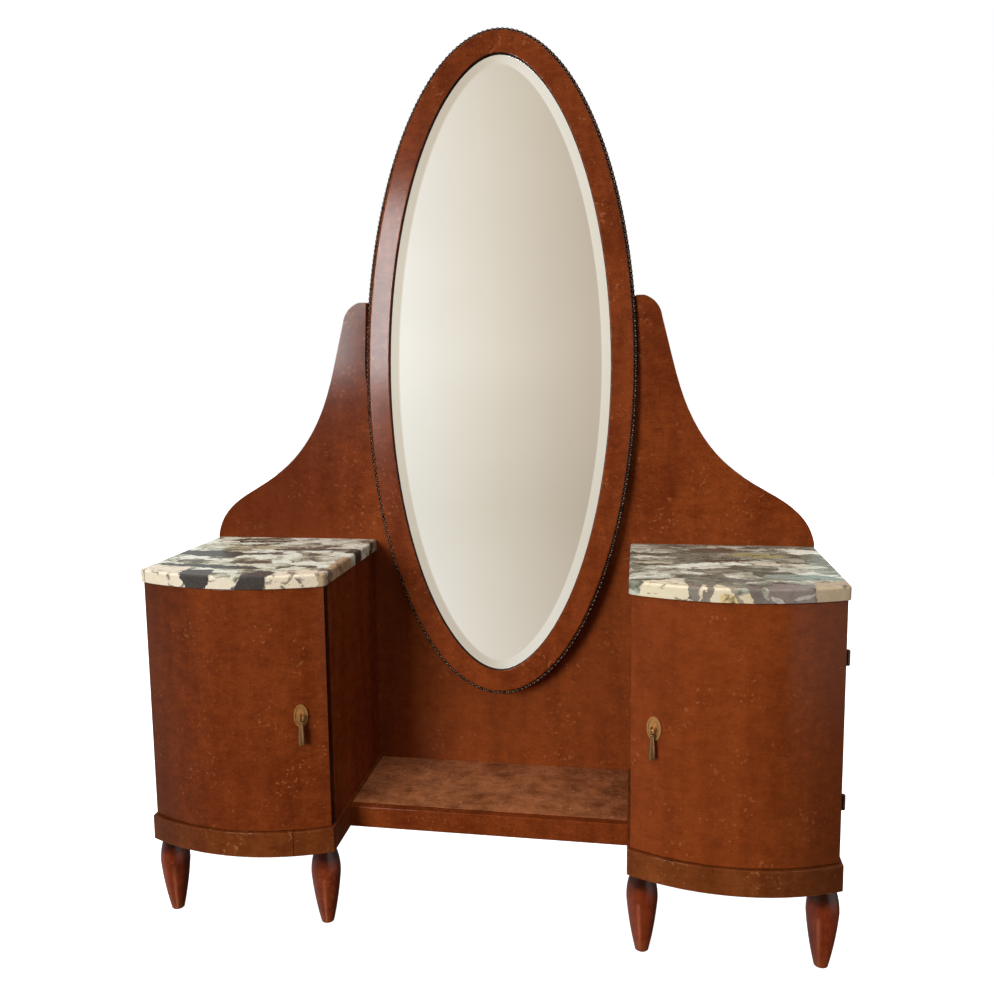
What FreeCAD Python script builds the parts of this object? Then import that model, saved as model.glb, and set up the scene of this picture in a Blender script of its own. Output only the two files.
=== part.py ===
import FreeCAD, Part
import math
import os

V = FreeCAD.Vector
UP = V(0, 0, 1)
ACROSS = V(1, 0, 0)
ORIGIN = V(0, 0, 0)
INTO_DOOR = V(0, -1, 0)
INTO_SIDE = V(0, 1, 0)
TOUCH = 1e-6
OVAL_POINTS = 48
BOTH_WAYS = (-1, 1)

# A dressing table: two bow-fronted marble-topped cabinets on a plinth with turned feet,
# a low platform between them, and a winged back panel that carries a tilting oval mirror.
# Millimetres, +Z up, front towards -Y, origin at the middle of the footprint on the floor.

# Cabinets
kneehole_width = 590.0
cabinet_width = 377.5
cabinet_depth = 365.0
bow_rise = 47.0
carcass_height = 493.0
side_thickness = 20.0
floor_thickness = 18.0
roof_thickness = 18.0
back_thickness = 6.0
inner_shelf_thickness = 15.0
inner_shelf_height = 225.0
inner_shelf_setback = 30.0
shelf_fit = 0.5
shelf_pin_diameter = 6.0
shelf_pin_depth = 10.0
shelf_pin_reach = 9.0
shelf_pin_inset = 60.0

# Plinths and feet
plinth_height = 50.0
plinth_projection = 6.0
plinth_wall = 16.0
plinth_edge_round = 1.5
plinth_ledge_thickness = 8.0
plinth_ledge_overlap = 6.0
foot_height = 166.0
foot_neck_diameter = 36.0
foot_widest_diameter = 60.0
foot_widest_height = 108.0
foot_bottom_diameter = 26.5
foot_swell_bulge = 3.3
foot_taper_bulge = 2.0
foot_edge_round = 2.5
foot_inset = 29.0
tenon_diameter = 22.0
tenon_length = 34.0
foot_block_size = 40.0

# Platform between the cabinets
platform_depth = 262.0
platform_drop = 5.0
platform_thickness = 16.0
apron_thickness = 20.0
apron_edge_round = 2.0
cleat_size = 22.0

# Marble tops
marble_thickness = 26.0
marble_overhang = 5.0
marble_corner_round = 14.0
marble_edge_round = 5.0
marble_underside_round = 1.5

# Doors
door_edge_thickness = 22.0
door_gap = 1.0
door_clearance = 1.5
door_edge_round = 1.5
bow_clearance = 1.5

# Hinges
hinge_length = 26.0
hinge_barrel_diameter = 10.0
hinge_barrel_offset = 6.0
hinge_pin_diameter = 5.0
hinge_cap_diameter = 8.0
hinge_cap_height = 1.2
hinge_leaf_width = 15.0
hinge_leaf_thickness = 1.5
hinge_upper_drop = 112.0
hinge_lower_rise = 108.0
hinge_play = 0.05
knuckle_gap = 0.3
hinge_screw_spacing = 14.0
hinge_screw_length = 14.0
hinge_screw_diameter = 3.0

# Handles
left_handle_inset = 48.0
left_handle_rise = 237.0
right_handle_inset = 43.0
right_handle_rise = 247.0
plate_width = 27.5
plate_height = 46.0
plate_thickness = 2.0
plate_rim_width = 2.5
plate_rim_rise = 1.5
plate_boss_width = 16.0
plate_boss_height = 29.0
plate_boss_rise = 1.2
plate_seat = 0.05
stud_diameter = 11.0
stud_projection = 16.0
stud_slot = 3.6
pull_axis_offset = 12.0
pull_pin_diameter = 2.5
pull_tab_thickness = 3.0
pull_tab_radius = 3.4
pull_tab_gap = 0.9
pull_stem_drop = 8.0
pull_collar_diameter = 9.6
pull_length = 55.0
pull_neck_diameter = 6.6
pull_flare_diameter = 12.8
pull_flare_bulge = 1.0
pull_edge_round = 1.5
pull_play = 0.05

# Catches
catch_diameter = 8.0
catch_length = 14.0
catch_ball_diameter = 5.0
catch_ball_show = 0.6
catch_height_drop = 60.0
strike_width = 12.0
strike_height = 26.0
strike_thickness = 1.0
strike_dimple_diameter = 4.0

# Back panel with wings
panel_thickness = 26.0
wing_height = 540.0
wing_tip_flat = 17.0
wing_tip_width = 49.8
wing_tip_drop = 46.0
wing_tip_bulge = 9.0
wing_lift = 6.0
wing_shoulder = [(33.5, 71.0), (120.0, 129.0), (193.0, 185.0)]
wing_flank = [(106.6, 296.0), (72.0, 405.0)]
notch_drop = 190.0
notch_corner_round = 25.0
notch_lean = 5.6
notch_lip_width = 7.0
notch_lip_depth = 4.0
panel_screw_length = 60.0
panel_screw_diameter = 5.0
panel_screw_margin = 70.0

# Mirror
mirror_half_width = 301.0
mirror_half_height = 727.0
bead_width = 8.0
bead_depth = 8.0
bead_setback = 2.0
bead_round = 3.4
frame_width = 49.0
frame_thickness = 24.0
frame_outer_round = 5.0
frame_inner_round = 3.0
rebate_lip = 10.0
rebate_front = 6.5
glass_thickness = 5.0
glass_bevel_width = 20.0
glass_bevel_depth = 3.4
glass_fit = 0.5
glass_seat = 0.05
backing_thickness = 5.0
backing_strip_width = 8.0

# Mirror pivots
rest_tilt = 3.4
pivot_below_wing_top = 125.0
pivot_above_centre = 27.5
pivot_left_gap = 6.9
pivot_right_gap = 1.1
pivot_standoff = 15.0
pivot_pin_diameter = 8.0
pivot_play = 0.05
bush_diameter = 14.0
bush_length = 22.0
pin_engagement = 18.0
bracket_thickness = 3.0
bracket_edge_setback = 6.0
bracket_leaf_width = 30.0
bracket_leaf_height = 54.0
bracket_ear_radius = 10.0
bracket_screw_spacing = 34.0
bracket_screw_length = 14.0
bracket_screw_diameter = 4.0

# Screws in general
screw_head_ratio = 2.0
screw_fit = 0.05

# Places worked out from the sizes above
inner_x = kneehole_width / 2
outer_x = inner_x + cabinet_width
middle_x = (inner_x + outer_x) / 2
front_reach = cabinet_depth + bow_rise + max(plinth_projection, marble_overhang)
tilt_slope = math.radians(rest_tilt)
frame_top_rise = mirror_half_height - bead_width - pivot_above_centre
frame_top_reach = frame_top_rise * math.sin(tilt_slope) - pivot_standoff * math.cos(tilt_slope)
rear_reach = max(panel_thickness, panel_thickness / 2 + frame_top_reach)
panel_front = (front_reach - rear_reach) / 2
panel_back = panel_front + panel_thickness
corner_y = panel_front - cabinet_depth
plinth_top = foot_height + plinth_height
carcass_top = plinth_top + carcass_height
marble_top = carcass_top + marble_thickness
platform_top = plinth_top - platform_drop
platform_front = panel_front - platform_depth
door_back = corner_y + door_edge_thickness
side_front = door_back + door_gap
floor_front = side_front + bow_clearance - door_gap
inside_left = inner_x + side_thickness
inside_right = outer_x - side_thickness
carcass_back = panel_front - back_thickness
panel_half_width = outer_x + marble_overhang
wing_top = marble_top + wing_height
notch_half_width = mirror_half_width + (pivot_left_gap + pivot_right_gap) / 2
mirror_x = (pivot_left_gap - pivot_right_gap) / 2
pivot_y = panel_front + panel_thickness / 2
pivot_z = wing_top - pivot_below_wing_top
mirror_z = pivot_z - pivot_above_centre
frame_back = pivot_y - pivot_standoff
frame_front = frame_back - frame_thickness
lip_back = frame_front + rebate_front
glass_back = lip_back + glass_thickness
backing_back = glass_back + backing_thickness
handle_places = {
    "left": (left_handle_inset, left_handle_rise),
    "right": (right_handle_inset, right_handle_rise),
}
hinge_x = outer_x + hinge_barrel_offset
hinge_y = (door_back + side_front) / 2
hinge_heights = [plinth_top + hinge_lower_rise, carcass_top - hinge_upper_drop]


def box(x0, x1, y0, y1, z0, z1):
    return Part.makeBox(x1 - x0, y1 - y0, z1 - z0, V(x0, y0, z0))


def rod(diameter, start, direction, length):
    return Part.makeCylinder(diameter / 2, length, start, direction)


def face_of(edges):
    return Part.Face(Part.Wire(edges))


def bow_solid(x0, x1, y_corner, y_rear, rise, z0, z1):
    """A block whose front bulges forward in one arc between its two front corners."""
    crown = V((x0 + x1) / 2, y_corner - rise, z0)
    corners = [V(x0, y_rear, z0), V(x0, y_corner, z0), V(x1, y_corner, z0), V(x1, y_rear, z0)]
    edges = [
        Part.makeLine(corners[0], corners[1]),
        Part.Arc(corners[1], crown, corners[2]).toShape(),
        Part.makeLine(corners[2], corners[3]),
        Part.makeLine(corners[3], corners[0]),
    ]
    return face_of(edges).extrude(UP * (z1 - z0))


def rounded(solid, radius, wanted):
    """Fillet the edges whose middle point passes the test."""
    edges = [edge for edge in solid.Edges if wanted(edge, edge.valueAt(middle_of(edge)))]
    return solid.makeFillet(radius, edges)


def middle_of(edge):
    return (edge.FirstParameter + edge.LastParameter) / 2


def is_upright(edge):
    return abs(edge.BoundBox.ZLength - edge.Length) < TOUCH


def screw(diameter, length, head, direction, growth=0.0):
    """A countersunk screw whose head's flat lies at head and whose shank runs along direction."""
    radius = diameter / 2 + growth
    head_radius = diameter * screw_head_ratio / 2 + growth
    head_depth = head_radius - radius
    cone = Part.makeCone(head_radius, radius, head_depth, head, direction)
    return cone.fuse(Part.makeCylinder(radius, length + growth, head, direction)).removeSplitter()


def oval_wire(half_width, half_height, y):
    """An upright ellipse, taller than wide, facing along Y round the Y axis."""
    ellipse = Part.Wire(Part.Ellipse(ORIGIN, half_height, half_width).toShape())
    ellipse.rotate(ORIGIN, V(0, 1, 0), -90)
    ellipse.rotate(ORIGIN, UP, 90)
    ellipse.translate(V(0, y, 0))
    return ellipse


def oval_solid(half_width, half_height, y0, y1):
    return Part.Face(oval_wire(half_width, half_height, y0)).extrude(V(0, y1 - y0, 0))


def for_side(side, shape):
    """Pieces are drawn for the right-hand cabinet; the left-hand ones are their reflection."""
    return shape if side == "right" else shape.mirror(ORIGIN, ACROSS)


def tilted(shape):
    """Lean a mirror piece back from upright to where the mirror rests."""
    leaned = shape.copy()
    leaned.rotate(V(0, pivot_y, pivot_z), ACROSS, -rest_tilt)
    return leaned


def export(node, *solids):
    shape = solids[0] if len(solids) == 1 else Part.makeCompound(list(solids))
    shape.exportStep("parts/" + node + ".step")


# Feet

def foot_places():
    """Where each foot stands, for one cabinet: two in front and one at the outer back corner."""
    near = corner_y - plinth_projection + foot_inset
    far = panel_front - foot_inset
    inner = inner_x - plinth_projection + foot_inset
    outer = outer_x + plinth_projection - foot_inset
    return {"front_inner_foot": (inner, near), "front_outer_foot": (outer, near), "rear_foot": (outer, far)}


def foot(x, y):
    """A turned foot: a short neck, a swelling and a long convex taper, with a tenon above."""
    neck = foot_neck_diameter / 2
    wide = foot_widest_diameter / 2
    toe = foot_bottom_diameter / 2
    tenon = tenon_diameter / 2
    swell = V((wide + neck) / 2 + foot_swell_bulge, 0, (foot_height + foot_widest_height) / 2)
    taper = V((wide + toe) / 2 + foot_taper_bulge, 0, (foot_widest_height + foot_edge_round) / 2)
    toe_start = V(toe, 0, foot_edge_round)
    toe_turn = foot_edge_round * (1 - math.sqrt(0.5))
    points = {
        "base": V(0, 0, 0),
        "toe_in": V(toe - foot_edge_round, 0, 0),
        "toe_mid": V(toe - toe_turn, 0, toe_turn),
        "wide": V(wide, 0, foot_widest_height),
        "neck": V(neck, 0, foot_height),
        "step": V(tenon, 0, foot_height),
        "tenon": V(tenon, 0, foot_height + tenon_length),
        "end": V(0, 0, foot_height + tenon_length),
    }
    edges = [
        Part.makeLine(points["base"], points["toe_in"]),
        Part.Arc(points["toe_in"], points["toe_mid"], toe_start).toShape(),
        Part.Arc(toe_start, taper, points["wide"]).toShape(),
        Part.Arc(points["wide"], swell, points["neck"]).toShape(),
        Part.makeLine(points["neck"], points["step"]),
        Part.makeLine(points["step"], points["tenon"]),
        Part.makeLine(points["tenon"], points["end"]),
        Part.makeLine(points["end"], points["base"]),
    ]
    turned = face_of(edges).revolve(ORIGIN, UP, 360)
    turned.translate(V(x, y, 0))
    return turned


def tenon_hole(x, y):
    return rod(tenon_diameter, V(x, y, foot_height), UP, tenon_length)


def foot_block(x, y):
    """A corner block inside the plinth, glued to its wall and bored for the foot's tenon."""
    wall_x0 = inner_x - plinth_projection + plinth_wall
    wall_x1 = outer_x + plinth_projection - plinth_wall
    x0 = wall_x0 if x < middle_x else wall_x1 - foot_block_size
    wall_y0 = corner_y - plinth_projection + plinth_wall
    wall_y1 = panel_front - plinth_wall
    y0 = wall_y0 if y < (corner_y + panel_front) / 2 else wall_y1 - foot_block_size
    top = plinth_top - plinth_ledge_thickness
    block = box(x0, x0 + foot_block_size, y0, y0 + foot_block_size, foot_height, top)
    return block.cut(tenon_hole(x, y))


# Cabinet carcass

def plinth():
    """A hollow plinth with a ledge along the top of its bowed front, under the door."""
    x0 = inner_x - plinth_projection
    x1 = outer_x + plinth_projection
    y0 = corner_y - plinth_projection
    outside = bow_solid(x0, x1, y0, panel_front, bow_rise, foot_height, plinth_top)
    outside = rounded(outside, plinth_edge_round,
                      lambda edge, middle: middle.y < panel_front - TOUCH and middle.z > foot_height + TOUCH)
    wall = plinth_wall
    y1 = panel_front - wall
    ledge = plinth_top - plinth_ledge_thickness
    ledge_y = floor_front + plinth_ledge_overlap
    inside = bow_solid(x0 + wall, x1 - wall, y0 + wall, y1, bow_rise, foot_height, ledge)
    mouth = bow_solid(x0 + wall, x1 - wall, ledge_y, y1, bow_rise, ledge, plinth_top)
    ring = outside.cut(inside).cut(mouth)
    for x, y in foot_places().values():
        ring = ring.cut(tenon_hole(x, y))
    return ring


def shelf_pin_places():
    """Heights and depths of the four pegs under an inner shelf."""
    z = plinth_top + inner_shelf_height - shelf_pin_diameter / 2
    return [(side_front + shelf_pin_inset, z), (carcass_back - shelf_pin_inset, z)]


def shelf_pins():
    pegs = []
    length = shelf_pin_depth + shelf_pin_reach
    for y, z in shelf_pin_places():
        pegs.append(rod(shelf_pin_diameter, V(inside_left - shelf_pin_depth, y, z), ACROSS, length))
        pegs.append(rod(shelf_pin_diameter, V(inside_right - shelf_pin_reach, y, z), ACROSS, length))
    return pegs


def panel_screw_places():
    """Screws through the back panel into the back edges of the two sides of a cabinet."""
    heights = [plinth_top + panel_screw_margin, carcass_top - panel_screw_margin]
    columns = [inner_x + side_thickness / 2, outer_x - side_thickness / 2]
    return [V(x, panel_back, z) for x in columns for z in heights]


def panel_screw(head, growth=0.0):
    return screw(panel_screw_diameter, panel_screw_length, head, V(0, -1, 0), growth)


def side_board(x0):
    """An upright side of the cabinet, bored for shelf pegs and for the panel's screws."""
    board = box(x0, x0 + side_thickness, side_front, panel_front, plinth_top, carcass_top)
    for peg in shelf_pins():
        board = board.cut(peg)
    for head in panel_screw_places():
        board = board.cut(panel_screw(head, screw_fit))
    return board


def frame_leaf_pocket(z):
    depth = hinge_leaf_thickness - door_gap / 2
    return box(outer_x - hinge_leaf_width, outer_x, side_front, side_front + depth,
               z - hinge_length / 2, z + hinge_length / 2)


def outer_side():
    board = side_board(inside_right)
    for z in hinge_heights:
        board = board.cut(frame_leaf_pocket(z))
        for head in leaf_screw_places(z):
            board = board.cut(hinge_screw(head, INTO_SIDE, screw_fit))
    return board


def inner_side():
    board = side_board(inner_x)
    return board.cut(rod(catch_diameter, catch_place(), V(0, 1, 0), catch_length))


def cabinet_board(z0, z1):
    """A level board between the sides, with its front edge following the inside of the door."""
    return bow_solid(inside_left, inside_right, floor_front, carcass_back, bow_rise, z0, z1)


def cabinet_back():
    return box(inside_left, inside_right, carcass_back, panel_front, plinth_top, carcass_top)


def inner_shelf():
    z0 = plinth_top + inner_shelf_height
    front = side_front + inner_shelf_setback
    shelf = box(inside_left + shelf_fit, inside_right - shelf_fit, front, carcass_back - shelf_fit, z0,
                z0 + inner_shelf_thickness)
    return shelf


def marble():
    x0 = inner_x - marble_overhang
    x1 = outer_x + marble_overhang
    slab = bow_solid(x0, x1, corner_y - marble_overhang, panel_front, bow_rise, carcass_top, marble_top)
    slab = rounded(slab, marble_corner_round, lambda edge, middle: is_upright(edge) and middle.y < 0)
    slab = rounded(slab, marble_edge_round,
                   lambda edge, middle: middle.z > marble_top - TOUCH and middle.y < panel_front - TOUCH)
    return rounded(slab, marble_underside_round,
                   lambda edge, middle: middle.z < carcass_top + TOUCH and middle.y < panel_front - TOUCH)


# Doors, hinges, handles and catches

def door():
    z0 = plinth_top + door_clearance
    z1 = carcass_top - door_clearance
    crown = corner_y - bow_rise
    hollow = crown + door_edge_thickness
    outline = [
        V(inner_x, door_back, z0),
        V(inner_x, corner_y, z0),
        V(outer_x, corner_y, z0),
        V(outer_x, door_back, z0),
        V(inside_right, door_back, z0),
        V(inside_left, door_back, z0),
    ]
    edges = [
        Part.makeLine(outline[0], outline[1]),
        Part.Arc(outline[1], V(middle_x, crown, z0), outline[2]).toShape(),
        Part.makeLine(outline[2], outline[3]),
        Part.makeLine(outline[3], outline[4]),
        Part.Arc(outline[4], V(middle_x, hollow, z0), outline[5]).toShape(),
        Part.makeLine(outline[5], outline[0]),
    ]
    panel = face_of(edges).extrude(UP * (z1 - z0))
    panel = rounded(panel, door_edge_round, lambda edge, middle: middle.y < corner_y + TOUCH)
    depth = hinge_leaf_thickness - door_gap / 2
    for z in hinge_heights:
        panel = panel.cut(box(outer_x - hinge_leaf_width, outer_x, door_back - depth, door_back,
                              z - hinge_length / 2, z + hinge_length / 2))
        for head in leaf_screw_places(z):
            panel = panel.cut(hinge_screw(head, INTO_DOOR, screw_fit))
    return panel.cut(strike_block())


def leaf_screw_places(z):
    x = outer_x - hinge_leaf_width / 2
    return [V(x, hinge_y, z - hinge_screw_spacing / 2), V(x, hinge_y, z + hinge_screw_spacing / 2)]


def hinge_screw(head, direction, growth=0.0):
    return screw(hinge_screw_diameter, hinge_screw_length, head, direction, growth)


def hinge_barrel(z, start, end, bore):
    """A stretch of the knuckle, between two fractions of the hinge's length."""
    z0 = z - hinge_length / 2 + hinge_length * start
    length = hinge_length * (end - start)
    tube = rod(hinge_barrel_diameter, V(hinge_x, hinge_y, z0), UP, length)
    return tube.cut(rod(bore, V(hinge_x, hinge_y, z0), UP, length))


def hinge_leaf(z, y0, y1, stretches, clear_stretches):
    """A flat leaf reaching to the barrel, with its knuckles, cut clear of the other leaf's knuckles."""
    bore = hinge_pin_diameter + 2 * hinge_play
    leaf = box(outer_x - hinge_leaf_width, hinge_x, y0, y1, z - hinge_length / 2, z + hinge_length / 2)
    for start, end in clear_stretches:
        gap = knuckle_gap / hinge_length
        z0 = z - hinge_length / 2 + hinge_length * (start - gap)
        z1 = z - hinge_length / 2 + hinge_length * (end + gap)
        leaf = leaf.cut(box(outer_x + knuckle_gap, hinge_x, y0, y1, z0, z1))
    leaf = leaf.cut(rod(bore, V(hinge_x, hinge_y, z - hinge_length), UP, 2 * hinge_length))
    for start, end in stretches:
        leaf = leaf.fuse(hinge_barrel(z, start, end, bore))
    return leaf.removeSplitter()


def door_leaf(z):
    ends = [(0, 1 / 3), (2 / 3, 1)]
    leaf = hinge_leaf(z, hinge_y - hinge_leaf_thickness, hinge_y, [(1 / 3, 2 / 3)], ends)
    for head in leaf_screw_places(z):
        leaf = leaf.cut(hinge_screw(head, INTO_DOOR, screw_fit))
    return leaf


def frame_leaf(z):
    gap = knuckle_gap / hinge_length
    stretches = [(0, 1 / 3 - gap), (2 / 3 + gap, 1)]
    leaf = hinge_leaf(z, hinge_y, hinge_y + hinge_leaf_thickness, stretches, [(1 / 3, 2 / 3)])
    for head in leaf_screw_places(z):
        leaf = leaf.cut(hinge_screw(head, INTO_SIDE, screw_fit))
    return leaf


def hinge_pin(z):
    """A straight pin with a flat cap just clear of each end of the barrel."""
    reach = hinge_length / 2 + knuckle_gap
    pin = rod(hinge_pin_diameter, V(hinge_x, hinge_y, z - reach), UP, 2 * reach)
    for way in BOTH_WAYS:
        end = V(hinge_x, hinge_y, z + way * reach)
        pin = pin.fuse(rod(hinge_cap_diameter, end, UP * way, hinge_cap_height))
    return pin.removeSplitter()


def bow_radius():
    half = cabinet_width / 2
    return (half ** 2 + bow_rise ** 2) / (2 * bow_rise)


def onto_door(side, shape):
    """Stand a handle piece, drawn facing -Y at the origin, on the door's curved face."""
    inset, rise = handle_places[side]
    handle_x = inner_x + inset
    turn = math.asin((middle_x - handle_x) / bow_radius())
    centre_y = corner_y - bow_rise + bow_radius()
    place = V(handle_x, centre_y - bow_radius() * math.cos(turn), plinth_top + rise)
    placed = shape.copy()
    placed.rotate(ORIGIN, UP, -math.degrees(turn))
    placed.translate(place)
    return placed


def handle_plate():
    """An oval back plate with a raised rim, a raised oval boss and a hole for the stud."""
    half_width = plate_width / 2
    half_height = plate_height / 2
    face = -plate_seat - plate_thickness
    crest = face - plate_rim_rise
    plate = oval_solid(half_width, half_height, crest, -plate_seat)
    well = oval_solid(half_width - plate_rim_width, half_height - plate_rim_width, crest, face)
    boss = oval_solid(plate_boss_width / 2, plate_boss_height / 2, face - plate_boss_rise, face)
    hole = rod(stud_diameter, V(0, -plate_seat, 0), V(0, -1, 0), plate_thickness + plate_boss_rise)
    return plate.cut(well).fuse(boss).cut(hole).removeSplitter()


def handle_stud():
    """A round stud whose nose is slotted for the pull's tab and bored across for its pin."""
    stud = rod(stud_diameter, V(0, -plate_seat, 0), V(0, -1, 0), stud_projection - plate_seat)
    rear = pull_axis_offset - pull_tab_radius - pull_tab_gap
    slot = box(-stud_slot / 2, stud_slot / 2, -stud_projection, -rear, -stud_diameter, stud_diameter)
    pin = rod(pull_pin_diameter, V(-stud_diameter, -pull_axis_offset, 0), ACROSS, 2 * stud_diameter)
    return stud.cut(slot).cut(pin)


def pull_pin():
    reach = math.sqrt((stud_diameter / 2) ** 2 - (pull_pin_diameter / 2) ** 2)
    return rod(pull_pin_diameter, V(-reach, -pull_axis_offset, 0), ACROSS, 2 * reach)


def drop_pull():
    """A pendant: a flat bored tab, a collar and a stem that swells to a flat foot."""
    half = pull_tab_thickness / 2
    neck = pull_neck_diameter / 2
    flare = pull_flare_diameter / 2
    collar = pull_collar_diameter / 2
    tab = rod(2 * pull_tab_radius, V(-half, 0, 0), ACROSS, pull_tab_thickness)
    tongue = box(-half, half, -neck, neck, -pull_stem_drop - collar, 0)
    collar_end = -pull_stem_drop - 2 * (collar - neck)
    flare_end = -pull_length + pull_edge_round
    waist = V((neck + flare) / 2 + pull_flare_bulge, 0, (collar_end + flare_end) / 2)
    turn = pull_edge_round * (1 - math.sqrt(0.5))
    edges = [
        Part.makeLine(V(0, 0, -pull_stem_drop), V(neck, 0, -pull_stem_drop)),
        Part.Arc(V(neck, 0, -pull_stem_drop), V(collar, 0, (collar_end - pull_stem_drop) / 2),
                 V(neck, 0, collar_end)).toShape(),
        Part.Arc(V(neck, 0, collar_end), waist, V(flare, 0, flare_end)).toShape(),
        Part.Arc(V(flare, 0, flare_end), V(flare - turn, 0, -pull_length + turn),
                 V(flare - pull_edge_round, 0, -pull_length)).toShape(),
        Part.makeLine(V(flare - pull_edge_round, 0, -pull_length), V(0, 0, -pull_length)),
        Part.makeLine(V(0, 0, -pull_length), V(0, 0, -pull_stem_drop)),
    ]
    drop = face_of(edges).revolve(ORIGIN, UP, 360)
    bore = rod(pull_pin_diameter + 2 * pull_play, V(-half, 0, 0), ACROSS, pull_tab_thickness)
    pendant = tab.fuse(tongue).fuse(drop).cut(bore).removeSplitter()
    pendant.translate(V(0, -pull_axis_offset, 0))
    return pendant


def catch_place():
    return V(inner_x + side_thickness / 2, side_front, carcass_top - catch_height_drop)


def ball_catch():
    """A barrel let into the inner side's front edge, with a ball that shows past its mouth."""
    place = catch_place()
    ball = catch_ball_diameter / 2
    barrel = rod(catch_diameter, place, V(0, 1, 0), catch_length)
    return barrel.fuse(Part.makeSphere(ball, place + V(0, ball - catch_ball_show, 0))).removeSplitter()


def strike_block():
    place = catch_place()
    x0 = place.x - strike_width / 2
    z0 = place.z - strike_height / 2
    return box(x0, x0 + strike_width, door_back - strike_thickness, door_back, z0, z0 + strike_height)


def strike_plate():
    place = catch_place()
    mouth = V(place.x, door_back, place.z)
    return strike_block().cut(rod(strike_dimple_diameter, mouth, V(0, -1, 0), strike_thickness))


# Platform

def platform_edge():
    return inner_x - plinth_projection


def platform_board():
    edge = platform_edge()
    y0 = platform_front + apron_thickness
    return box(-edge, edge, y0, panel_front, platform_top - platform_thickness, platform_top)


def platform_apron():
    edge = platform_edge()
    rail = box(-edge, edge, platform_front, platform_front + apron_thickness, foot_height, platform_top)
    return rounded(rail, apron_edge_round,
                   lambda edge, middle: abs(middle.y - platform_front) < TOUCH and abs(middle.x) < TOUCH)


def platform_cleat():
    edge = platform_edge()
    z1 = platform_top - platform_thickness
    return box(edge - cleat_size, edge, platform_front + apron_thickness, panel_front, z1 - cleat_size, z1)


# Back panel

def notch_x(z):
    """Half the notch's width at a height: its sides lean in from the pivots to the wings' tops."""
    return notch_half_width - max(z - pivot_z, 0) * notch_lean / pivot_below_wing_top


def panel_half_outline(lip):
    """The panel's right-hand edge: up the side, along the wing, over its tip, down into the notch,
    whose side stands further in by the lip."""
    wing_points = [V(panel_half_width, 0, marble_top + wing_lift)]
    for inset, height in wing_shoulder:
        wing_points.append(V(panel_half_width - inset, 0, marble_top + height))
    for width, height in wing_flank:
        wing_points.append(V(notch_half_width + width, 0, marble_top + height))
    tip = V(notch_half_width + wing_tip_width, 0, wing_top - wing_tip_drop)
    wing_points.append(tip)
    sweep = Part.BSplineCurve()
    sweep.interpolate(wing_points)
    brink = V(notch_x(wing_top) - lip, 0, wing_top)
    crest = brink + V(wing_tip_flat + lip, 0, 0)
    knee = V(notch_x(pivot_z) - lip, 0, pivot_z)
    chord = crest - tip
    outward = V(-chord.z, 0, chord.x).normalize() * -wing_tip_bulge
    over = (tip + crest) * 0.5 + outward
    floor_z = wing_top - notch_drop
    round_r = notch_corner_round
    turn = round_r * (1 - math.sqrt(0.5))
    low = V(knee.x, 0, floor_z + round_r)
    return [
        Part.makeLine(V(0, 0, foot_height), V(panel_half_width, 0, foot_height)),
        Part.makeLine(V(panel_half_width, 0, foot_height), wing_points[0]),
        sweep.toShape(),
        Part.Arc(tip, over, crest).toShape(),
        Part.makeLine(crest, brink),
        Part.makeLine(brink, knee),
        Part.makeLine(knee, low),
        Part.Arc(low, V(low.x - turn, 0, floor_z + turn), V(low.x - round_r, 0, floor_z)).toShape(),
        Part.makeLine(V(low.x - round_r, 0, floor_z), V(0, 0, floor_z)),
    ]


def bush_mouth_x():
    """Where the bushes start: flush with the notch's side at their lower edge."""
    return notch_x(pivot_z - bush_diameter / 2)


def panel_layer(lip, y0, y1):
    right = panel_half_outline(lip)
    left = [edge.mirror(ORIGIN, ACROSS) for edge in reversed(right)]
    outline = Part.Wire(Part.__sortEdges__(right + left))
    layer = Part.Face(outline).extrude(V(0, y1 - y0, 0))
    layer.translate(V(0, y0, 0))
    return layer


def back_panel():
    """The winged back, with a thin lip behind the mirror's edge that closes the gap beside it."""
    rebate = panel_back - notch_lip_depth
    front = panel_layer(0, panel_front, rebate)
    board = front.fuse(panel_layer(notch_lip_width, rebate, panel_back)).removeSplitter()
    for way in BOTH_WAYS:
        brim = V(way * notch_x(pivot_z + bush_diameter), pivot_y, pivot_z)
        hole = rod(bush_diameter, brim, V(way, 0, 0), abs(bush_mouth_x() - brim.x * way) + bush_length)
        board = board.cut(hole)
        for head in panel_screw_places():
            board = board.cut(panel_screw(V(way * head.x, head.y, head.z), screw_fit))
    return board


# Mirror, drawn upright

def mirror_wire(inset, y):
    """The mirror's elliptical outline, drawn in by the same width all round."""
    points = []
    for step in range(OVAL_POINTS):
        angle = 2 * math.pi * step / OVAL_POINTS
        across = mirror_half_height * math.cos(angle)
        along = mirror_half_width * math.sin(angle)
        share = inset / math.hypot(across, along)
        points.append(V(mirror_x + mirror_half_width * math.cos(angle) - share * across, y,
                        mirror_z + mirror_half_height * math.sin(angle) - share * along))
    outline = Part.BSplineCurve()
    outline.interpolate(Points=points, PeriodicFlag=True)
    return Part.Wire(outline.toShape())


def mirror_oval(inset, y0, y1):
    return Part.Face(mirror_wire(inset, y0)).extrude(V(0, y1 - y0, 0))


def sight_inset(growth):
    """How far the frame's opening, let out all round by growth, lies inside the mirror's outline."""
    return bead_width + frame_width - growth


def sight_oval(growth, y0, y1):
    return mirror_oval(sight_inset(growth), y0, y1)


def is_sight_edge(edge, middle):
    reach = mirror_half_height - sight_inset(frame_inner_round)
    return abs(edge.CenterOfMass.y - frame_front) < TOUCH and edge.BoundBox.ZLength < 2 * reach


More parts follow.
